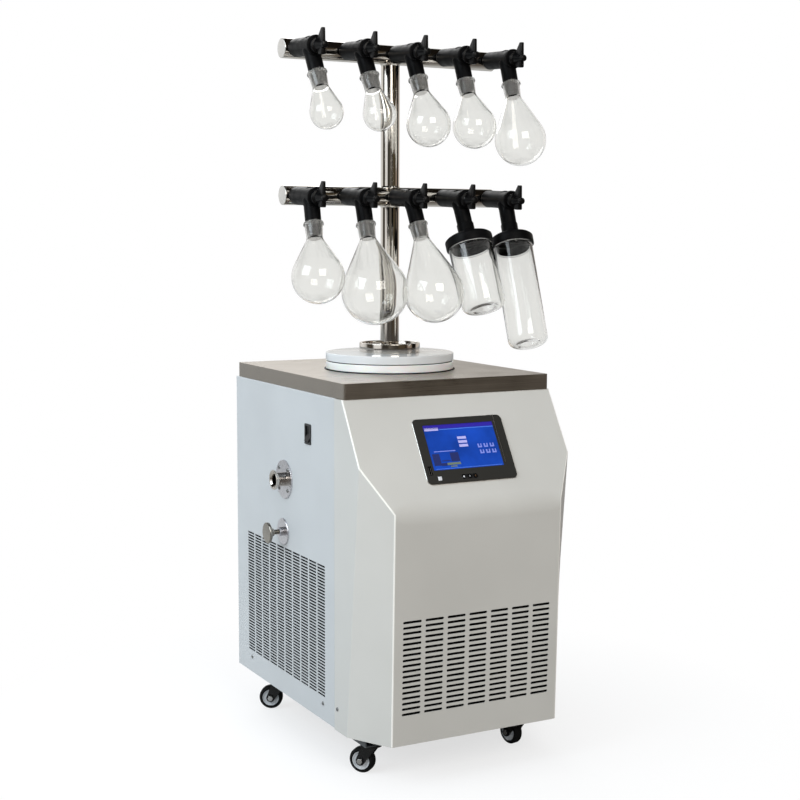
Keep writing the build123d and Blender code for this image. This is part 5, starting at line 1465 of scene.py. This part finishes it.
def hang_lamps(scene, key):
    """Soft square lamps that look at the machine."""
    for name, (place, size, share, tone) in LAMPS.items():
        lamp = bpy.data.lights.new(name, "AREA")
        lamp.color = tone
        lamp.shape = "SQUARE"
        lamp.size = size
        lamp.energy = key * share
        made = bpy.data.objects.new(name, lamp)
        made.location = place
        made.rotation_euler = (Vector(place) - Vector(LAMP_TARGET)).to_track_quat("Z", "Y").to_euler()
        scene.collection.objects.link(made)


def set_camera(scene, lens):
    """The camera, from its bearing, height and roll."""
    camera = bpy.data.cameras.new("camera")
    camera.lens = lens
    camera.sensor_width = 36.0
    made = bpy.data.objects.new("camera", camera)
    bearing, height, roll = (math.radians(angle) for angle in CAMERA_ANGLES)
    back = Vector((math.sin(bearing) * math.cos(height), -math.cos(bearing) * math.cos(height), math.sin(height)))
    right = Vector((0, 0, 1)).cross(back).normalized()
    up = back.cross(right)
    right, up = right * math.cos(roll) + up * math.sin(roll), up * math.cos(roll) - right * math.sin(roll)
    turn = Matrix((right, up, back)).transposed().to_4x4()
    made.matrix_world = Matrix.Translation(CAMERA_PLACE) @ turn
    scene.collection.objects.link(made)
    scene.camera = made


class FREEZE_OT_stage(bpy.types.Operator):
    """Floor, soft lamps, surrounding light and camera"""

    bl_idname = "freeze.stage"
    bl_label = "Stage"

    def execute(self, context):
        scene = context.scene
        stage = scene.freeze_dryer_stage
        scene.view_settings.view_transform = "Standard"
        lay_floor()
        surround(scene, stage.world)
        hang_lamps(scene, stage.key)
        set_camera(scene, stage.lens)
        return {"FINISHED"}


# ---------------------------------------------------------------- add-on
class FREEZE_PT_panel(bpy.types.Panel):
    """Lists the freeze dryer's pieces"""

    bl_idname = "FREEZE_PT_panel"
    bl_label = "Freeze Dryer"
    bl_space_type = "VIEW_3D"
    bl_region_type = "UI"
    bl_category = "Freeze Dryer"

    def draw(self, context):
        for operator in OPERATORS:
            self.layout.operator(operator.bl_idname)
        for group in ("freeze_dryer_colours", "freeze_dryer_sizes", "freeze_dryer_stage"):
            owner = getattr(context.scene, group)
            for name in owner.__annotations__:
                self.layout.prop(owner, name)


OPERATORS = (
    FREEZE_OT_stage, FREEZE_OT_front_shell, FREEZE_OT_panels, FREEZE_OT_worktop, FREEZE_OT_machinery,
    FREEZE_OT_cold_trap, FREEZE_OT_manifold, FREEZE_OT_valves, FREEZE_OT_knobs, FREEZE_OT_flasks, FREEZE_OT_jars,
    FREEZE_OT_control_panel, FREEZE_OT_side_fittings, FREEZE_OT_casters,
)
GROUPS = {
    "freeze_dryer_colours": FreezeDryerColours,
    "freeze_dryer_sizes": FreezeDryerSizes,
    "freeze_dryer_stage": FreezeDryerStage,
}
CLASSES = (*GROUPS.values(), *OPERATORS, FREEZE_PT_panel)


def register():
    for cls in CLASSES:
        bpy.utils.register_class(cls)
    for name, group in GROUPS.items():
        setattr(bpy.types.Scene, name, PointerProperty(type=group))


def unregister():
    for name in GROUPS:
        delattr(bpy.types.Scene, name)
    for cls in reversed(CLASSES):
        bpy.utils.unregister_class(cls)


def main():
    register()
    for operator in OPERATORS:
        group, name = operator.bl_idname.split(".")
        getattr(getattr(bpy.ops, group), name)()


if __name__ == "__main__":
    main()
